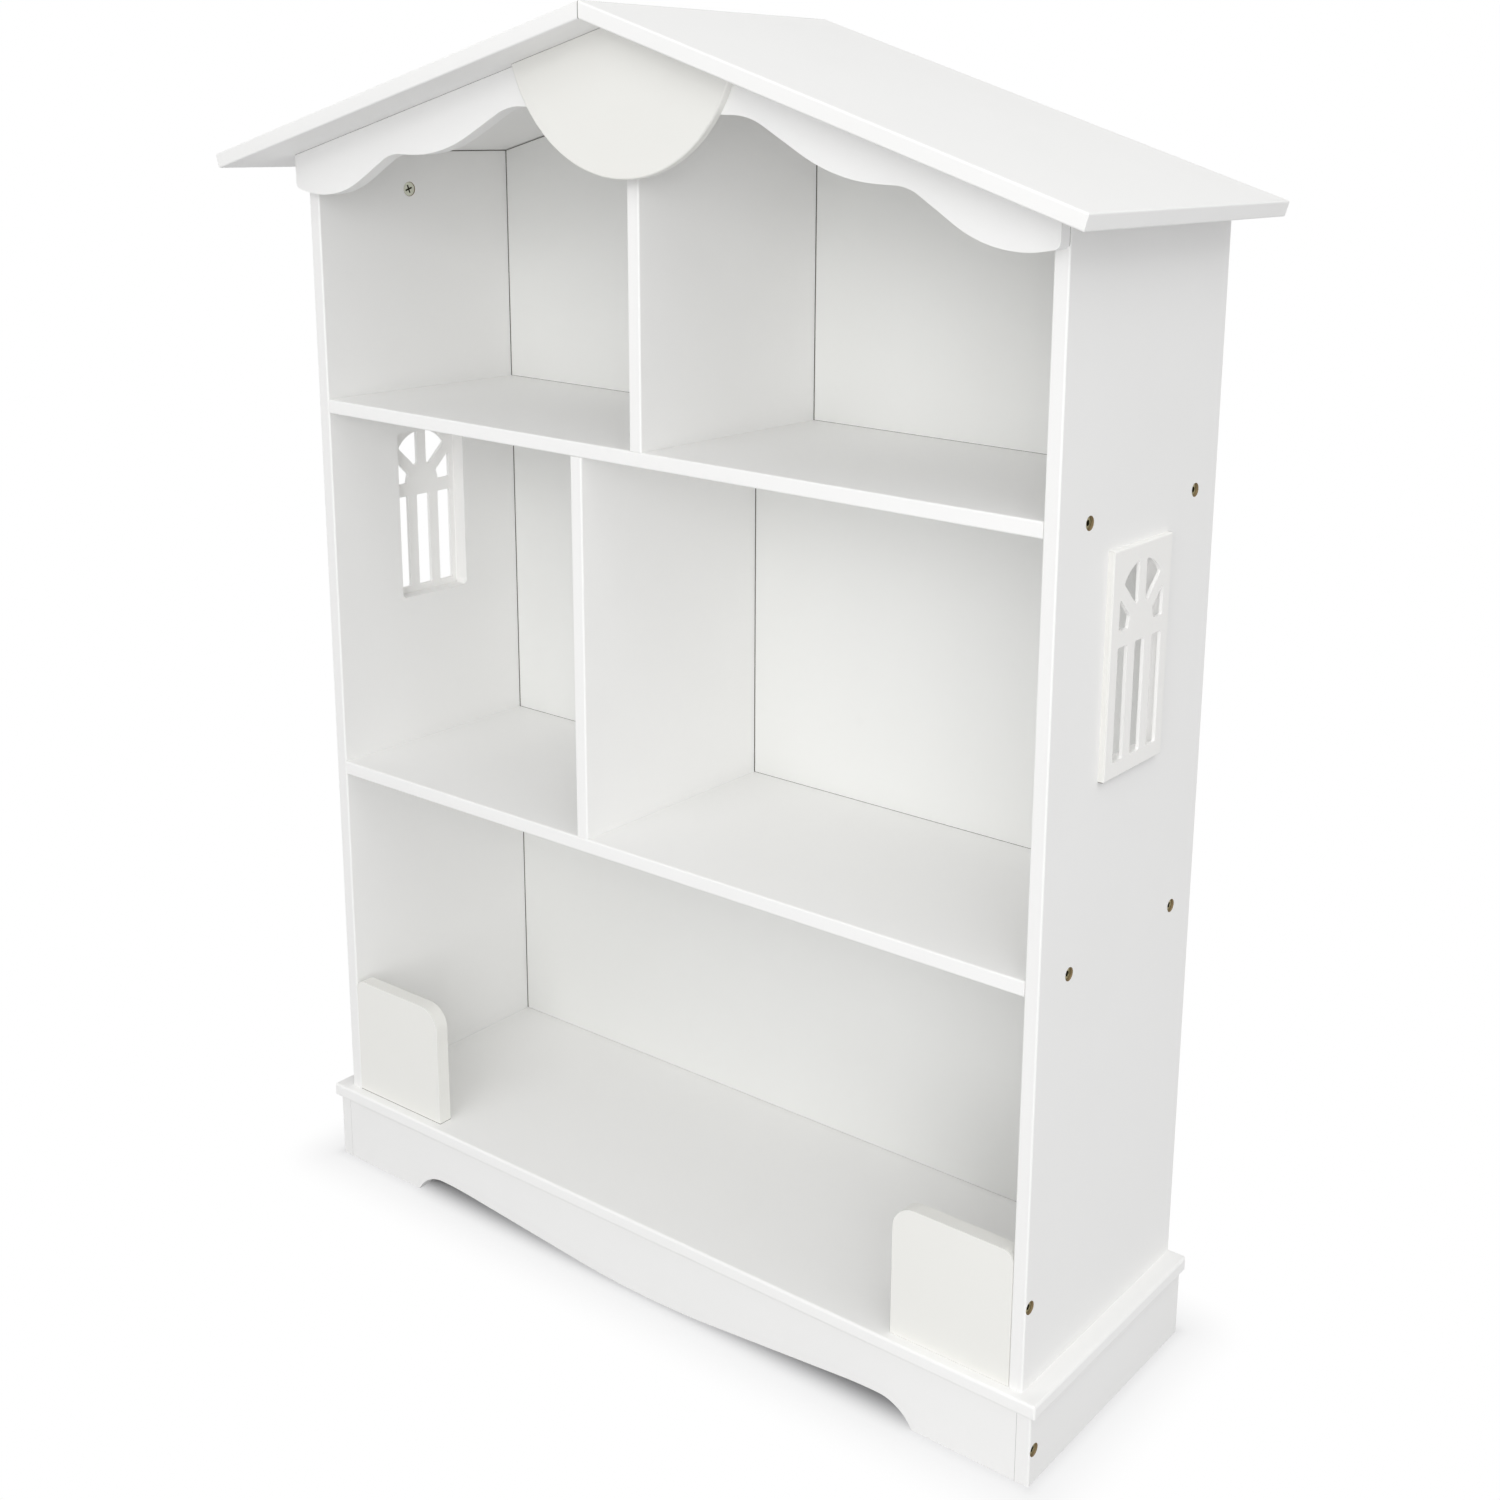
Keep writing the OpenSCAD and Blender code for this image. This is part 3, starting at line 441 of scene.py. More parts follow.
def window_finish(name, boards, windows):
    """Sprayed paint of the window panels in a lighter tone that stands in for more light on them,
    as painted light, and lighter again in the openings as painted light. Along their front and rear
    edges the paint is duller and darker, partly as painted shade, and a dark hairline of painted
    shade runs along the bottom."""
    finish = Finish(name)
    low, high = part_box("window_right")
    half, margin = windows.width / 2, windows.margin
    outer = low.x + windows.thick - boards.joint
    rim = abs(finish.along(1) - (low.y + half)) > half - windows.duller
    # Painted light: the lighter white of the face
    face = finish.drift(9.0, boards.lit_pane, dimmed(boards.lit_pane, 0.985))
    openings = finish.within(
        (0, low.y + margin, low.z + margin), (outer, high.y, high.z - margin)
    )
    # Painted light in the openings
    face = finish.mix(openings, face, boards.cut)
    # Duller paint on the upright edges, made darker as painted shade
    face = finish.mix(rim, face, boards.dull_and_shaded_edge)
    # Painted shade in a hairline under the panel
    sill = finish.seams([((0, 0, 1), low.z, HAIRLINES["window_sill"] * boards.seam)])
    return finish.sprayed(boards, finish.mix(sill, face, boards.gap))


def back_finish(name, boards, seams, middle):
    """Thin hardboard with a white coat: long faint rolling marks up its height, a few rubbed
    places, a slightly flatter sheen than the boards, and dark hairlines of painted shade where
    boards meet its front face, which lies before the middle of its thickness."""
    finish = Finish(name)
    front = finish.along(1) < middle
    rolled = finish.noise(90.0, 2.0, (1.0, 1.0, 0.03))
    rubbed = finish.ramp(finish.noise(9.0, 2.0), 0.62, 0.8)
    spots = finish.ramp(finish.noise(26.0, 1.0), 0.74, 0.86)
    marks = rubbed * 0.25 + spots * 0.5 + rolled * 0.12
    coated = finish.mix(marks, boards.back, boards.back_shade)
    return finish.surface(
        Base_Color=finish.mix(finish.seams(seams) * front, coated, boards.gap),
        Roughness=boards.gloss + 0.03 + 0.1 * finish.noise(30.0, 2.0),
        Normal=finish.bump(finish.noise(600.0, 2.0) + rolled * 0.8, boards.stipple, 0.4),
    )


def metal_finish(name, plate, dull, roughness, grain, depth, metallic=1.0, recess=None, deep_shade=None):
    """Plated or cast metal: a duller tone in patches, a fine grain and a drift of sheen. The recess
    is the place of the sockets, which have the deep tone of painted shade."""
    finish = Finish(name)
    patches = finish.ramp(finish.noise(grain * 0.35, 3.0), 0.3, 0.75)
    tone = finish.mix(patches, plate, dull)
    if recess:
        # Painted shade: the recess is made near black
        tone = finish.mix(finish.bore(*recess), tone, deep_shade)
    return finish.surface(
        Base_Color=tone,
        Metallic=metallic,
        Roughness=roughness + 0.22 * finish.noise(grain, 2.0),
        Normal=finish.bump(finish.noise(grain * 2.0, 2.0), depth, 0.5),
    )


def wood_finish(fittings):
    """Beech: short dark flecks and a soft tone along the grain."""
    finish = Finish("beech")
    tone = finish.noise(60.0, 3.0, (1.0, 1.0, 0.35))
    flecks = finish.ramp(finish.noise(1400.0, 1.0, (1.0, 1.0, 0.12)), 0.6, 0.75)
    dark = dimmed(fittings.wood, 0.6)
    return finish.surface(
        Base_Color=finish.mix(tone * 0.45 + flecks * 0.5, fittings.wood, dark),
        Roughness=0.62 + 0.15 * tone,
        Normal=finish.bump(flecks, 0.05 * MM, 0.6),
    )


# ---- Finishing the boards ----


def nodes(names):
    """The CAD nodes with these names."""
    return [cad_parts[name] for name in names]


def coat(names, material):
    """Gives CAD nodes their material."""
    for node in nodes(names):
        node.material_slots[0].material = material


def ease_edges(pieces, width):
    """Rounds the sharp edges of boards: their triangles are welded, flat neighbours joined, each
    edge sharper than 30 degrees is rolled over by the width, and the shading follows the large
    faces."""
    for piece in pieces:
        stack = piece.modifiers
        weld = stack.new("weld", "WELD")
        weld.merge_threshold = WELD
        flat = stack.new("flat faces", "DECIMATE")
        flat.decimate_type = "DISSOLVE"
        flat.angle_limit = FLAT
        ease = stack.new("eased edges", "BEVEL")
        ease.width = width
        ease.segments = 3
        ease.limit_method = "ANGLE"
        ease.angle_limit = SHARP
        ease.use_clamp_overlap = True
        ease.harden_normals = True
        shade = stack.new("shading", "WEIGHTED_NORMAL")
        shade.keep_sharp = False


def under_roof(width):
    """Hairlines of painted shade along the two slopes under the roof, which run from the top of the
    gable board down to the top of the inner face of an end panel."""
    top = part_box("gable_trim")[1].z
    low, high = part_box("side_right")
    slope = (top - high.z) / low.x
    run = math.hypot(slope, 1)
    return [((way * slope / run, 0, 1 / run), top / run, width) for way in (1, -1)]


def rear_corners(board, edge, width):
    """Hairlines of painted shade down the two rear corners of a board that stands before the end
    panels. Each lies along a plane at 45 degrees, which cuts the eased corner."""
    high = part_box(board)[1]
    cut = 0.57 * edge
    at = (high.x + high.y) * PLANE - cut
    return [((way * PLANE, PLANE, 0), at, width) for way in (1, -1)]


def drilled(panel, screws, cams):
    """Holes of the screws in the outer half of a panel, and of the cams in its inner half."""
    low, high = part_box(panel)
    middle = (low.x + high.x) / 2
    holes = [(node, HEAD_HOLE, middle, FAR) for node in screws]
    holes.append((cams, CAM_HOLE, 0.0, middle + CAM_REACH))
    return [(*spacing_of(node), 0, *hole) for node, *hole in holes]


def spacing_of(node):
    """Middle of a group of like fittings, and half of the way between their outer ones."""
    boxes = solid_boxes(node)
    centres = boxes.mean(1)
    low, high = centres.min(0), centres.max(0)
    return (low + high) / 2, (high - low) / 2


# ---- Window panels ----


def stretch(start, end, centre, cut):
    """Points from start to end, cut short at both by no more than a third, on a line or, with a
    centre, on a circle."""
    if centre is None:
        trim = min(cut / np.linalg.norm(end - start), 0.33)
        return start + np.array([[trim], [1 - trim]]) * (end - start)
    radius = np.linalg.norm(start - centre)
    first, last = (math.atan2(*(p - centre)[::-1]) for p in (start, end))
    trim = min(cut / radius / abs(last - first), 0.33)
    turn = first + np.linspace(trim, 1 - trim, ARC_STEPS)[:, None] * (last - first)
    return centre + radius * np.concatenate([np.cos(turn), np.sin(turn)], 1)


def rounded_outline(corners, centres, cut):
    """Outline through the corners, with a line or an arc from each to the next. A corner is
    rounded on a quadratic curve that has it as control point and starts and ends that far from
    it."""
    count = len(corners)
    sides = [stretch(corners[i], corners[(i + 1) % count], centres[i], cut) for i in range(count)]
    outline = []
    t = np.linspace(0, 1, CORNER_STEPS)[1:-1, None]
    for i, side in enumerate(sides):
        last, corner, first = side[-1], corners[(i + 1) % count], sides[(i + 1) % count][0]
        outline += [side, (1 - t) ** 2 * last + 2 * t * (1 - t) * corner + t ** 2 * first]
    return np.concatenate(outline)


def window_openings(w, height):
    """Outlines of the three slots and the four openings of the fanlight, anticlockwise, from the
    lower front corner of a panel. The fanlight is a half disc over straight jambs; a middle bar,
    two spokes at 45 degrees and the hub, a half disc on the sill, divide it."""
    side, half = (w.width - w.across) / 2, w.bar / 2
    slot = (w.across - 2 * w.bar) / 3
    arch = w.across / 2
    sill = height - w.head - arch - w.jamb
    outlines = []
    for i in range(3):
        x0, y0 = side + i * (slot + w.bar), w.foot
        x1, y1 = x0 + slot, sill - w.transom
        corners = np.array([(x0, y0), (x1, y0), (x1, y1), (x0, y1)])
        outlines.append(rounded_outline(corners, [None] * 4, w.corner))
    hub, spring = np.array((0.0, 0.0)), np.array((0.0, w.jamb))
    at_hub = math.sqrt(w.hub ** 2 - half ** 2)
    middle = w.jamb / math.sqrt(2)

    def on_spoke(along, off):
        return (along - off) / math.sqrt(2), (along + off) / math.sqrt(2)

    def spoke_end(off):
        return on_spoke(middle + math.sqrt(arch ** 2 - (off - middle) ** 2), off)

    upper = np.array([
        on_spoke(at_hub, half), spoke_end(half),
        (half, w.jamb + math.sqrt(arch ** 2 - half ** 2)), (half, at_hub),
    ])
    lower = np.array([
        (w.hub, 0), (arch, 0), (arch, w.jamb), spoke_end(-half), on_spoke(at_hub, -half),
    ])
    for corners, centres in (
        (upper, [None, spring, None, hub]), (lower, [None, None, spring, None, hub])
    ):
        outline = rounded_outline(corners, centres, w.corner)
        outlines.append(outline + (w.width / 2, sill))
        outlines.append(outline[::-1] * (-1, 1) + (w.width / 2, sill))
    return outlines


def frame_ring(w, height, inset):
    """Rectangle of the frame, drawn in on all sides."""
    x, y = w.width - inset, height - inset
    return np.array([(inset, inset), (x, inset), (x, y), (inset, y)])


def window_shape(w, height):
    """A window panel with its inner face at depth 0. Its rim is carried up the thickness and over a
    quarter circle; the outer face and the floor of the recess behind the bars are filled around the
    openings, and walls join them. Returns points as (outwards, back, up), and the faces."""
    points, quads, fans = [], [], []

    def ring(outline, depth):
        first = sum(map(len, points))
        points.append(np.column_stack([np.full(len(outline), depth), outline]))
        return first + np.arange(len(outline))

    def wall(low, high):
        quads.append(np.stack([low, np.roll(low, -1), np.roll(high, -1), high], -1))

    def fill(rings, way):
        flat = np.concatenate(points)[:, 1:] / MM
        number = np.concatenate(rings)
        found = number[np.array(tessellate_polygon([flat[r].tolist() for r in rings]))]
        a, b, c = (flat[found[:, i]] for i in range(3))
        turn = (b - a)[:, 0] * (c - a)[:, 1] - (b - a)[:, 1] * (c - a)[:, 0]
        fans.append(np.where((turn * way > 0)[:, None], found, found[:, ::-1]))

    outlines = window_openings(w, height)
    back = w.thick - w.lattice
    rim = [ring(frame_ring(w, height, 0), 0)]
    for lean in np.linspace(0, math.pi / 2, CORNER_STEPS):
        outline = frame_ring(w, height, w.rim * (1 - math.cos(lean)))
        rim.append(ring(outline, w.thick - w.rim + w.rim * math.sin(lean)))
    for low, high in zip(rim, rim[1:]):
        wall(low, high)
    (x0, y0), (x1, y1) = w.cut_low, w.cut_high
    mouth = np.array([(x0, y0), (x1, y0), (x1, y1), (x0, y1)])
    mouth, floor = ring(mouth, 0), ring(mouth, back)
    wall(mouth, rim[0])
    wall(floor, mouth)
    outer = [ring(outline, w.thick) for outline in outlines]
    inner = [ring(outline, back) for outline in outlines]
    for low, high in zip(inner, outer):
        wall(high, low)
    fill([rim[-1], *outer], 1)
    fill([floor, *inner], -1)
    return np.concatenate(points), np.concatenate(quads), np.concatenate(fans)


# ---- Turned fittings: a profile carried round an axis ----


def solid_boxes(node):
    """Lowest and highest corner of each separate solid of a CAD node. Corners at the same place get
    one number, every triangle hands its lowest number to its corners until nothing changes, and the
    corners that end with one number are one solid."""
    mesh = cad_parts[node].data
    spots = np.empty(len(mesh.vertices) * 3, np.float32)
    mesh.vertices.foreach_get("co", spots)
    corners = np.empty(len(mesh.loops), np.int32)
    mesh.loops.foreach_get("vertex_index", corners)
    rounded = np.round(spots.reshape(-1, 3).astype(float) * 1e5).astype(np.int64)
    places, number = np.unique(rounded, axis=0, return_inverse=True)
    corners = number.reshape(-1)[corners]
    label = np.arange(len(places))
    while True:
        lowest = np.repeat(label[corners].reshape(-1, 3).min(1), 3)
        spread = label.copy()
        np.minimum.at(spread, corners, lowest)
        if (spread == label).all():
            break
        label = spread
    places = places / 1e5
    found = [places[label == one] for one in np.unique(label)]
    return np.array([(solid.min(0), solid.max(0)) for solid in found])


def turned(stations, angles):
    """A shape turned round an axis, from stations of (distance down the axis, radius) in mm, each a
    number or one value for every angle. The point of a station at an angle lies at that distance
    down the axis, and at that radius from it towards the angle. The first and last stations have no
    radius, so each is one point. Returns the points as (axis, up, side) in metres and the faces,
    closed all round."""
    grid = np.array([np.broadcast_arrays(*station, angles)[:2] for station in stations])
    along, radius = grid.transpose(1, 0, 2) * MM
    rows, columns = radius.shape
    ring = np.stack([along, radius * np.cos(angles), radius * np.sin(angles)], -1)
    points = np.concatenate([ring[:1, 0], ring[1:-1].reshape(-1, 3), ring[-1:, 0]])
    here = np.arange(columns)
    there = (here + 1) % columns
    start = 1 + columns * np.arange(rows - 3)[:, None]
    near, far = start + here, start + there
    quads = np.stack([near, far, far + columns, near + columns], -1)
    last = len(points) - 1
    tail = last - columns
    head_fan = np.stack([np.zeros_like(here), 1 + there, 1 + here], -1)
    tail_fan = np.stack([tail + here, tail + there, np.full_like(here, last)], -1)
    return points, quads.reshape(-1, 4), np.concatenate([head_fan, tail_fan])


def around(count):
    """Angles of so many even steps around."""
    return np.arange(count) * 2 * math.pi / count


def threaded(start, end, core, crest, pitch, angles, steps=6):
    """Stations of a helical thread. The radius is the core plus a narrow ridge: the height of the
    ridge is the fourth power of a cosine wave of the distance down the axis less the turn, in
    pitches."""
    along = np.arange(start, end, pitch / steps)[:, None]
    wave = np.cos(math.pi * (along / pitch - angles / (2 * math.pi))) ** 4
    fade = np.clip(np.minimum(along - start, end - along) / pitch, 0, 1)
    return [(x, core + (crest - core) * f * w) for x, f, w in zip(along, fade, wave)]


def hexagon(flats, angles):
    """Distance from the middle to the side of a hexagon: half of its width across flats over the
    cosine of the angle from the nearest flat."""
    sixth = math.pi / 3
    return flats / 2 / np.cos((angles + sixth / 2) % sixth - sixth / 2)


def cross_arms(length, width, angles):
    """Distance from the middle to the side of a cross: the end of an arm or its flank, whichever
    is met first."""
    quarter = math.pi / 2
    off = np.abs((angles + quarter / 2) % quarter - quarter / 2)
    flank = width / 2 / np.maximum(np.sin(off), 1e-6)
    return np.minimum(length / 2 / np.cos(off), flank)


def joint_screw_shape(fittings, length, head):
    """Countersunk screw with a hexagon socket, a smooth neck, a coarse thread and a short point."""
    angles = around(36)
    flats = hexagon(fittings.socket / MM, angles)
    shank = 0.5 * head
    cone = (head - shank) / 2
    stations = [
        (2.5, 0.0), (2.2, 0.9 * flats), (0.2, flats), (0.0, 1.06 * flats), (0.0, 0.44 * head),
        (0.1, 0.478 * head), (0.3, 0.5 * head - 0.15), (0.5, 0.5 * head - 0.5), (cone, shank / 2),
        (cone + 0.5, 0.46 * shank), (cone + 4, 0.46 * shank),
        *threaded(cone + 4.4, length - 2, 0.34 * shank, 0.495 * shank, fittings.pitch / MM, angles),
        (length - 1.6, 0.34 * shank), (length - 0.1, 0.1 * shank), (length, 0.0),
    ]
    return turned(stations, angles)


def plate_screw_shape(length, head):
    """Short countersunk screw with a cross recess and a fine thread up to its head."""
    angles = around(72)
    arms = cross_arms(0.62 * head, 0.17 * head, angles)
    shank = 0.5 * head
    cone = (head - shank) / 2
    stations = [
        (1.6, 0.0), (1.2, 0.35 * arms), (0.12, arms), (0.0, 1.04 * arms), (0.0, 0.42 * head),
        (0.08, 0.47 * head), (0.3, 0.5 * head - 0.3), (cone, shank / 2), (cone + 0.3, 0.42 * shank),
        *threaded(cone + 0.6, length - 1, 0.33 * shank, 0.49 * shank, 1.3, angles, 5),
        (length - 0.8, 0.33 * shank), (length - 0.1, 0.08 * shank), (length, 0.0),
    ]
    return turned(stations, angles)


def cam_shape(fittings, bolt_at, depth, across):
    """Cam disc: a dished face with a cross recess and a raised rim, and behind it half a drum
    between two plates, open towards the bolt that comes in from above."""
    angles = around(72)
    length = fittings.cross / MM
    arms = cross_arms(length, 0.2 * length, angles + fittings.cross_turn)
    rim = across / 2
    dish = 0.28
    wide = np.maximum(arms + 0.18, 0.66 * rim)
    drum = np.where(np.cos(angles) > 0.02, 0.1 / np.maximum(np.cos(angles), 0.02), rim - 0.4)
    drum = np.minimum(drum, rim - 0.4)
    front, back = bolt_at - 2.7, bolt_at + 2.7
    stations = [
        (1.9, 0.0), (1.75, 0.45 * arms), (dish + 0.12, arms), (dish, arms + 0.12), (dish, wide),
        (dish, rim - 1.25), (0.05, rim - 1.0), (0.0, rim - 0.85), (0.0, rim - 0.35),
        (0.1, rim - 0.12), (0.35, rim), (front, rim), (front, drum), (back, drum), (back, rim),
        (depth - 0.3, rim), (depth, rim - 0.3), (depth, 0.0),
    ]
    return turned(stations, angles)


def cam_bolt_shape(length, shank):
    """Bolt of a cam: a round head that the cam grips, a narrow neck, a plain shank and a thread."""
    angles = around(32)
    half = shank / 2
    bulge = [(1.3 - 1.3 * math.cos(a), 0.98 * half * math.sin(a)) for a in (0.5, 0.9, 1.3, 1.7)]
    stations = [
        (0.0, 0.0), *bulge, (2.1, 0.62 * half), (4.2, 0.62 * half), (4.7, 0.96 * half),
        (length - BITE - 1.2, 0.96 * half), (length - BITE - 0.9, 0.7 * half),
        *threaded(length - BITE - 0.6, length - 0.8, 0.7 * half, 0.99 * half, 1.6, angles, 5),
        (length - 0.6, 0.68 * half), (length, 0.5 * half), (length, 0.0),
    ]
    return turned(stations, angles)


def dowel_shape(fittings, length, across):
    """Fluted dowel: its radius dips in rounded grooves all round, and its ends are chamfered."""
    angles = around(6 * fittings.flutes)
    groove = 0.07 * across * (0.5 - 0.5 * np.cos(fittings.flutes * angles)) ** 0.6
    side = across / 2 - groove
    chamfer = 0.16 * across
    stations = [
        (0.0, 0.0), (0.0, across / 2 - chamfer), (chamfer, side), (length / 2, side),
        (length - chamfer, side), (length, across / 2 - chamfer), (length, 0.0),
    ]
    return turned(stations, angles)


def fitted(node, direction, shape, spin=None):
    """One mesh with a copy of the shape at each solid of a CAD node. Direction gives the way from
    the start of the shape to its end for a solid with that middle and extent; shape gives it for
    its size along that way and its size across in mm; spin turns each copy a little further."""
    points, quads, fans = [], [], []
    count = 0
    for number, (low, high) in enumerate(solid_boxes(node)):
        middle, extent = (low + high) / 2, high - low
        axis = np.array(direction(middle, extent), float)
        up = np.array((0, 1, 0) if abs(axis[2]) > 0.5 else (0, 0, 1), float)
        side = np.cross(axis, up)
        long = np.abs(axis) @ extent
        across = (extent.sum() - long) / 2
        local, four, three = shape(long / MM, across / MM)
        if spin:
            c, s = math.cos(spin * number), math.sin(spin * number)
            local = local @ np.array([[1, 0, 0], [0, c, s], [0, -s, c]])
        start = middle - axis * long / 2
        points.append(start + local @ np.array([axis, up, side]))
        quads.append(four + count)
        fans.append(three + count)
        count += len(local)
    return np.concatenate(points), np.concatenate(quads), np.concatenate(fans)


def put(name, data):
    """A new object in the scene, with this mesh, lamp or camera."""
    new = bpy.data.objects.new(name, data)
    bpy.context.scene.collection.objects.link(new)
    return new


def add_piece(name, node, surface, material):
    """Puts a worked-out surface into a mesh and lets it stand for its CAD node."""
    points, quads, fans = surface
    mesh = bpy.data.meshes.new(name)
    mesh.from_pydata(points.tolist(), [], quads.tolist() + fans.tolist())
    mesh.shade_smooth()
    mesh.set_sharp_from_angle(angle=CREASE)
    mesh.materials.append(material)
    piece = put(name, mesh)
    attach(piece, BODY)
    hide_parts(node)
    return piece


def inwards(middle, extent):
    """From the nearer end of the bookcase towards its middle."""
    return (-math.copysign(1, middle[0]), 0, 0)


def outwards(middle, extent):
    """From the middle of the bookcase towards its nearer end."""
    return (math.copysign(1, middle[0]), 0, 0)


def upwards(middle, extent):
    """From the floor up."""
    return (0, 0, 1)


def forwards(middle, extent):
    """From the back to the front."""
    return (0, -1, 0)


def lengthwise(middle, extent):
    """Along the longest side of the fitting."""
    return np.eye(3)[np.argmax(extent)]


# ---- Operators ----


class BOOKCASE_OT_roof(bpy.types.Operator):
    """Paint the two roof boards and ease their edges"""

    bl_idname = "bookcase.roof"
    bl_label = "Roof"

    def execute(self, context):
        boards = context.scene.bookcase_boards
        # A hairline of painted shade in the mitre between the roof boards
        mitre = ((1, 0, 0), 0, HAIRLINES["mitre"] * boards.seam)
        coat(ROOF, paint_finish("roof_paint", boards, seams=[mitre]))
        ease_edges(nodes(ROOF), boards.joint)
        return {"FINISHED"}


class BOOKCASE_OT_gable(bpy.types.Operator):
    """Paint the scalloped gable board and its round plate"""

    bl_idname = "bookcase.gable"
    bl_label = "Gable board and plate"

    def execute(self, context):
        boards = context.scene.bookcase_boards
        # Hairlines of painted shade under the roof, and down the rear corners of the gable board
        seams = under_roof(HAIRLINES["under_roof"] * boards.seam)
        # The gable board gets the lighter copy of the paint, as painted light
        bright = (boards.bright, boards.lit_thin)
        # The plate gets the warmer, darker white, partly as painted shade
        warm_and_shaded = (boards.trim, boards.trim_shade)
        coat(("gable_disc",), paint_finish("plate_paint", boards, seams=seams, tones=warm_and_shaded))
        width = HAIRLINES["gable_corners"] * boards.seam
        seams += rear_corners("gable_trim", boards.edge, width)
        coat(("gable_trim",), paint_finish("gable_paint", boards, seams=seams, tones=bright))
        ease_edges(nodes(GABLE), boards.edge)
        return {"FINISHED"}


class BOOKCASE_OT_ends(bpy.types.Operator):
    """Paint the end panels, with bare board in the holes of the screws and cams"""

    bl_idname = "bookcase.ends"
    bl_label = "End panels"

    def execute(self, context):
        boards = context.scene.bookcase_boards
        holes = drilled("side_right", ("shelf_screws", "stop_screws"), "roof_cams")
        low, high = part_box("side_right")
        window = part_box("window_right")
        # The cut-out behind the window is painted lighter, as painted light
        cut = ((low.x + SKIN, *window[0].yz), (high.x - SKIN, *window[1].yz))
        # Hairlines of painted shade under the roof
        seams = under_roof(boards.seam)
        coat(ENDS, paint_finish("end_paint", boards, holes, seams, cut=cut))
        ease_edges(nodes(ENDS), boards.joint)
        return {"FINISHED"}


class BOOKCASE_OT_windows(bpy.types.Operator):
    """Cut the pierced window panels with their thin bars, paint them and ease their edges"""

    bl_idname = "bookcase.windows"
    bl_label = "Window panels"

    def execute(self, context):
        boards, windows = context.scene.bookcase_boards, context.scene.bookcase_windows
        paint = window_finish("window_paint", boards, windows)
        for node, way in zip(WINDOWS, (-1, 1)):
            low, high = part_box(node)
            seat = low.x if way > 0 else high.x
            points, quads, fans = window_shape(windows, high.z - low.z)
            points = np.array([seat, low.y, low.z]) + points * (way, 1, 1)
            surface = points, quads[:, ::way], fans[:, ::way]
            piece = add_piece("pierced_" + node, node, surface, paint)
            ease_edges([piece], boards.joint)
        return {"FINISHED"}


class BOOKCASE_OT_shelves(bpy.types.Operator):
    """Paint the shelves, the base board and the dividers"""

    bl_idname = "bookcase.shelves"
    bl_label = "Shelves, base and dividers"

    def execute(self, context):
        boards = context.scene.bookcase_boards
        # The shelves, base board and dividers get the lighter copy of the paint, as painted light
        tones = (boards.bright, boards.lit_thin)
        coat(SHELVES, paint_finish("shelf_paint", boards, tones=tones))
        ease_edges(nodes(SHELVES), boards.joint)
        return {"FINISHED"}


class BOOKCASE_OT_stops(bpy.types.Operator):
    """Paint the book stops and ease their edges"""

    bl_idname = "bookcase.stops"
    bl_label = "Book stops"

    def execute(self, context):
        boards = context.scene.bookcase_boards
        # The book stops share the warmer, darker white of the plate
        tones = (boards.trim, boards.trim_shade)
        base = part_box("base_board")[1].z
        for stop in STOPS:
            # Painted shade in a hairline under each book stop
            seams = [((0, 0, 1), base, HAIRLINES[stop] * boards.seam)]
            coat((stop,), paint_finish(stop + "_paint", boards, seams=seams, tones=tones))
        ease_edges(nodes(STOPS), boards.edge)
        return {"FINISHED"}


class BOOKCASE_OT_plinth(bpy.types.Operator):
    """Paint the apron and the ends of the plinth, with bare board in the holes of the screws"""

    bl_idname = "bookcase.plinth"
    bl_label = "Plinth"

    def execute(self, context):
        boards = context.scene.bookcase_boards
        holes = drilled("plinth_right", ("plinth_screws",), "plinth_cams")
        low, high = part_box("plinth_front")
        # Hairlines of painted shade under the base board and at the ends of the apron
        top = ((0, 0, 1), high.z, HAIRLINES["plinth_top"] * boards.seam)
        width = HAIRLINES["apron_ends"] * boards.seam
        ends = [((1, 0, 0), at, width) for at in (low.x, high.x)]
        coat(PLINTH[:1], paint_finish("apron_paint", boards, seams=[top, *ends]))
        coat(PLINTH[1:], paint_finish("plinth_paint", boards, holes, [top]))
        ease_edges(nodes(PLINTH), boards.joint)
        return {"FINISHED"}


class BOOKCASE_OT_back(bpy.types.Operator):
    """Coat the three back panels"""

    bl_idname = "bookcase.back"
    bl_label = "Back panels"

    def execute(self, context):
        boards = context.scene.bookcase_boards
        across, upright = (1, 0, 0), (0, 0, 1)
        # Hairlines of painted shade where the end panels, dividers, shelves and roof meet the back
        level = HAIRLINES["shelf"] * boards.seam
        ends = (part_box("side_left")[1].x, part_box("side_right")[0].x)
        for panel, above, divider, below in (
            ("back_upper", None, "divider_upper", "shelf_upper"),
            ("back_middle", "shelf_upper", "divider_middle", "shelf_middle"),
            ("back_lower", "shelf_middle", None, "base_board"),
        ):
            faces = [corner.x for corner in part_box(divider)] if divider else []
            seams = [(across, at, boards.seam) for at in (*ends, *faces)]
            seams.append((upright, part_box(below)[1].z, level))
            if above:
                seams.append((upright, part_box(above)[0].z, level))
            else:
                seams += under_roof(boards.seam)
            low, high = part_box(panel)
            coat((panel,), back_finish(panel + "_coat", boards, seams, (low.y + high.y) / 2))
        ease_edges(nodes(BACK), boards.back_edge)
        return {"FINISHED"}


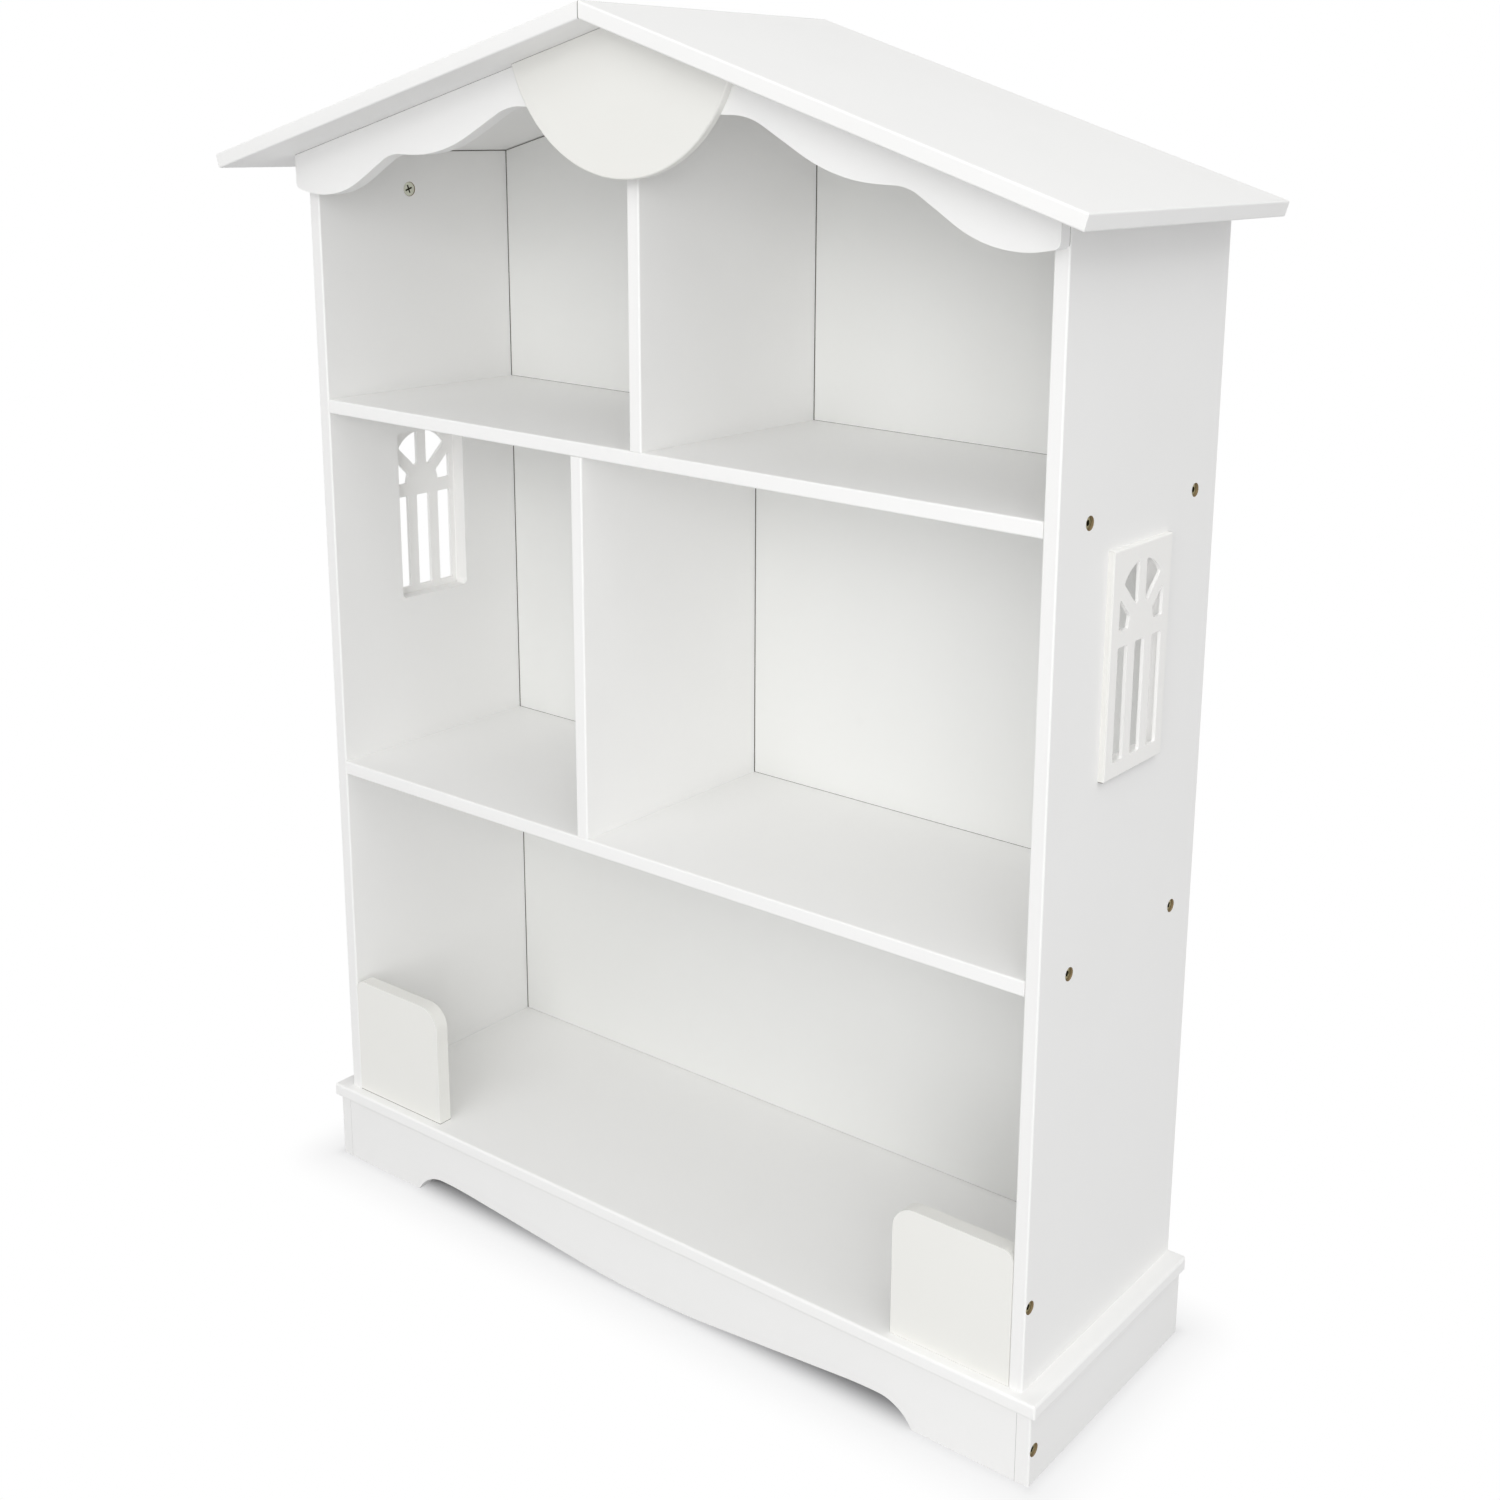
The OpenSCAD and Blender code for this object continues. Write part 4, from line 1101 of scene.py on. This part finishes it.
class BOOKCASE_OT_joint_screws(bpy.types.Operator):
    """Turn the countersunk screws of the shelves, book stops, plinth and base"""

    bl_idname = "bookcase.joint_screws"
    bl_label = "Joint screws"

    def execute(self, context):
        fittings = context.scene.bookcase_fittings
        for node, direction in (
            ("shelf_screws", inwards),
            ("stop_screws", inwards),
            ("plinth_screws", inwards),
            ("base_screws", upwards),
        ):
            low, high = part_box(node)
            if direction is inwards:
                axis, reach = 0, (high.x - SOCKET_FLOOR, high.x - SOCKET_MOUTH)
            else:
                axis, reach = 2, (low.z + SOCKET_MOUTH, low.z + SOCKET_FLOOR)
            # The sockets get painted shade
            sockets = (*spacing_of(node), axis, 0.6 * fittings.socket, *reach)
            steel = metal_finish(
                node + "_steel", fittings.steel, dimmed(fittings.steel, 0.6), roughness=0.26,
                grain=700.0, depth=0.03 * MM, metallic=0.9, recess=sockets, deep_shade=fittings.deep_shade,
            )
            surface = fitted(node, direction, partial(joint_screw_shape, fittings), spin=2.4)
            name = node.replace("screws", "joint_screws")
            add_piece(name, node, surface, steel)
        return {"FINISHED"}


class BOOKCASE_OT_plate_screws(bpy.types.Operator):
    """Turn the short screws behind the round plate"""

    bl_idname = "bookcase.plate_screws"
    bl_label = "Screws of the round plate"

    def execute(self, context):
        fittings = context.scene.bookcase_fittings
        steel = metal_finish(
            "bright_steel", fittings.zinc, fittings.steel,
            roughness=0.22, grain=800.0, depth=0.02 * MM,
        )
        surface = fitted("disc_screws", forwards, plate_screw_shape, spin=1.1)
        add_piece("plate_screws", "disc_screws", surface, steel)
        return {"FINISHED"}


class BOOKCASE_OT_cams(bpy.types.Operator):
    """Form the cam discs with their cross recesses"""

    bl_idname = "bookcase.cams"
    bl_label = "Cams"

    def execute(self, context):
        fittings = context.scene.bookcase_fittings
        for node, bolts in (("roof_cams", "roof_cam_bolts"), ("plinth_cams", "plinth_cam_bolts")):
            face = np.abs(solid_boxes(node)[:, :, 0]).min()
            bolt_at = (abs(solid_boxes(bolts).mean(1)[0, 0]) - face) / MM
            reach = face + CROSS_MOUTH, face + CROSS_FLOOR
            # The cross recesses get painted shade
            crosses = (*spacing_of(node), 0, 0.55 * fittings.cross, *reach)
            zinc = metal_finish(
                node + "_zinc", fittings.zinc, dimmed(fittings.zinc, 0.86), roughness=0.38,
                grain=500.0, depth=0.04 * MM, metallic=0.6, recess=crosses, deep_shade=fittings.deep_shade,
            )
            surface = fitted(node, outwards, partial(cam_shape, fittings, bolt_at))
            add_piece(node.replace("cams", "cam_discs"), node, surface, zinc)
        return {"FINISHED"}


class BOOKCASE_OT_cam_bolts(bpy.types.Operator):
    """Turn the bolts that the cams draw down"""

    bl_idname = "bookcase.cam_bolts"
    bl_label = "Cam bolts"

    def execute(self, context):
        fittings = context.scene.bookcase_fittings
        zinc = metal_finish(
            "plated_bolt", fittings.zinc, fittings.steel,
            roughness=0.28, grain=700.0, depth=0.02 * MM,
        )
        for node in ("roof_cam_bolts", "plinth_cam_bolts"):
            surface = fitted(node, upwards, cam_bolt_shape)
            add_piece(node.replace("bolts", "studs"), node, surface, zinc)
        return {"FINISHED"}


class BOOKCASE_OT_dowels(bpy.types.Operator):
    """Cut the fluted wooden dowels"""

    bl_idname = "bookcase.dowels"
    bl_label = "Dowels"

    def execute(self, context):
        fittings = context.scene.bookcase_fittings
        wood = wood_finish(fittings)
        for group in ("roof", "ridge", "divider", "trim", "stop", "apron"):
            node = group + "_dowels"
            surface = fitted(node, lengthwise, partial(dowel_shape, fittings))
            add_piece(group + "_fluted_dowels", node, surface, wood)
        return {"FINISHED"}


class BOOKCASE_OT_stage(bpy.types.Operator):
    """Lay the floor, hang the lights and set up the camera"""

    bl_idname = "bookcase.stage"
    bl_label = "Studio"

    def execute(self, context):
        stage = context.scene.bookcase_stage
        self.lay_floor(stage)
        self.light(stage)
        self.aim(context, stage)
        context.scene.view_settings.view_transform = "Standard"
        return {"FINISHED"}

    def seen(self, finish):
        """1 where the camera, a gloss or a glass looks at it, and 0 for plain light."""
        rays = ("Is Camera Ray", "Is Glossy Ray", "Is Transmission Ray")
        return reduce(Field.most, [finish.add("ShaderNodeLightPath", out=ray) for ray in rays])

    def lay_floor(self, stage):
        """A wide disc. Under the plinth it is a plain pale floor that takes its shadow; towards the
        outside the shadow gets faint where it is seen, and further out the floor is plain white."""
        angles = around(FLOOR_SIDES)
        ring = np.stack([np.cos(angles), np.sin(angles), np.zeros_like(angles)], -1)
        rings = (np.array(FLOOR_RADII)[:, None, None] * ring).reshape(-1, 3)
        points = np.concatenate([np.zeros((1, 3)), rings])
        here = np.arange(FLOOR_SIDES)
        there = (here + 1) % FLOOR_SIDES
        inner = 1 + FLOOR_SIDES * np.arange(len(FLOOR_RADII) - 1)[:, None]
        outer = inner + FLOOR_SIDES
        quads = np.stack([inner + here, outer + here, outer + there, inner + there], -1)
        fan = np.stack([np.zeros_like(here), 1 + here, 1 + there], -1)
        mesh = bpy.data.meshes.new("floor")
        mesh.from_pydata(points.tolist(), [], quads.reshape(-1, 4).tolist() + fan.tolist())
        floor = put("floor", mesh)
        finish = Finish("pale_floor")
        matt = finish.add("ShaderNodeBsdfDiffuse", None, {"Color": (*stage.floor, 1.0)})
        white = finish.add("ShaderNodeEmission", None, {"Color": (1, 1, 1, 1), "Strength": 1.0})
        out = finish.off_box(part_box("plinth_left")[0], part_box("plinth_right")[1])
        dark = (1 - stage.faint) * finish.ramp(out, -stage.deep_shade, stage.near)
        open_share = dark + stage.faint * finish.ramp(out, -stage.deep_shade, stage.far)
        shown = finish.add(
            "ShaderNodeMixShader", None, {0: self.seen(finish) * open_share, 1: matt, 2: white}
        )
        finish.add("ShaderNodeOutputMaterial", None, {"Surface": shown})
        mesh.materials.append(finish.material)

    def light(self, stage):
        """An even sky that shows as plain white, and three large soft lights: one in front above
        the roof, one from the front right and one high at the right."""
        world = bpy.data.worlds.new("studio")
        bpy.context.scene.world = world
        sky = Finish("studio", world)
        even, white = (
            sky.add("ShaderNodeBackground", None, {"Color": (1, 1, 1, 1), "Strength": strength})
            for strength in (stage.sky, 1.0)
        )
        shown = sky.add("ShaderNodeMixShader", None, {0: self.seen(sky), 1: even, 2: white})
        sky.add("ShaderNodeOutputWorld", None, {"Surface": shown})
        for name, place, side in LIGHTS:
            lamp = bpy.data.lights.new(name + "_light", "AREA")
            lamp.energy = getattr(stage, name)
            lamp.size = side
            towards = Vector(AIM) - Vector(place)
            turn = towards.to_track_quat("-Z", "Y").to_matrix().to_4x4()
            put(lamp.name, lamp).matrix_world = Matrix.Translation(place) @ turn

    def aim(self, context, stage):
        """The camera looks along the turn and the tilt, and then leans by the roll."""
        turn, tilt, roll = stage.turn, stage.tilt, stage.roll
        flat = math.cos(tilt)
        ahead = Vector((-math.sin(turn) * flat, math.cos(turn) * flat, -math.sin(tilt)))
        level = Vector((math.cos(turn), math.sin(turn), 0))
        above = level.cross(ahead)
        right = math.cos(roll) * level + math.sin(roll) * above
        up = math.cos(roll) * above - math.sin(roll) * level
        data = bpy.data.cameras.new("camera")
        data.lens = stage.lens
        data.shift_x, data.shift_y = stage.shift
        camera = put("camera", data)
        stance = Matrix((right, up, -ahead)).transposed().to_4x4()
        camera.matrix_world = Matrix.Translation(stage.eye) @ stance
        context.scene.camera = camera


class BOOKCASE_PT_pieces(bpy.types.Panel):
    """Lists the pieces of the bookcase and their sizes and colours"""

    bl_idname = "BOOKCASE_PT_pieces"
    bl_label = "Bookcase"
    bl_space_type = "VIEW_3D"
    bl_region_type = "UI"
    bl_category = "Bookcase"

    def draw(self, context):
        for group, _ in GROUPS:
            settings = getattr(context.scene, group)
            box = self.layout.box()
            for key in settings.__annotations__:
                box.prop(settings, key)
        for step in STEPS:
            self.layout.operator(step.bl_idname)


GROUPS = (
    ("bookcase_boards", BOOKCASE_PG_boards),
    ("bookcase_windows", BOOKCASE_PG_windows),
    ("bookcase_fittings", BOOKCASE_PG_fittings),
    ("bookcase_stage", BOOKCASE_PG_stage),
)
STEPS = (
    BOOKCASE_OT_roof, BOOKCASE_OT_gable, BOOKCASE_OT_ends, BOOKCASE_OT_windows,
    BOOKCASE_OT_shelves, BOOKCASE_OT_stops, BOOKCASE_OT_plinth, BOOKCASE_OT_back,
    BOOKCASE_OT_joint_screws, BOOKCASE_OT_plate_screws, BOOKCASE_OT_cams,
    BOOKCASE_OT_cam_bolts, BOOKCASE_OT_dowels, BOOKCASE_OT_stage,
)


def register():
    for group, properties in GROUPS:
        bpy.utils.register_class(properties)
        setattr(bpy.types.Scene, group, bpy.props.PointerProperty(type=properties))
    for one in (*STEPS, BOOKCASE_PT_pieces):
        bpy.utils.register_class(one)


def unregister():
    for one in (BOOKCASE_PT_pieces, *reversed(STEPS)):
        bpy.utils.unregister_class(one)
    for group, properties in reversed(GROUPS):
        delattr(bpy.types.Scene, group)
        bpy.utils.unregister_class(properties)


def corners(box):
    """The corners of a box as plain lists of numbers."""
    return [list(corner) for corner in box]


def main():
    """Makes the pieces in order."""
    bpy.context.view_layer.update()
    register()
    for step in STEPS:
        group, name = step.bl_idname.split(".")
        getattr(getattr(bpy.ops, group), name)()


if __name__ == "__main__":
    main()
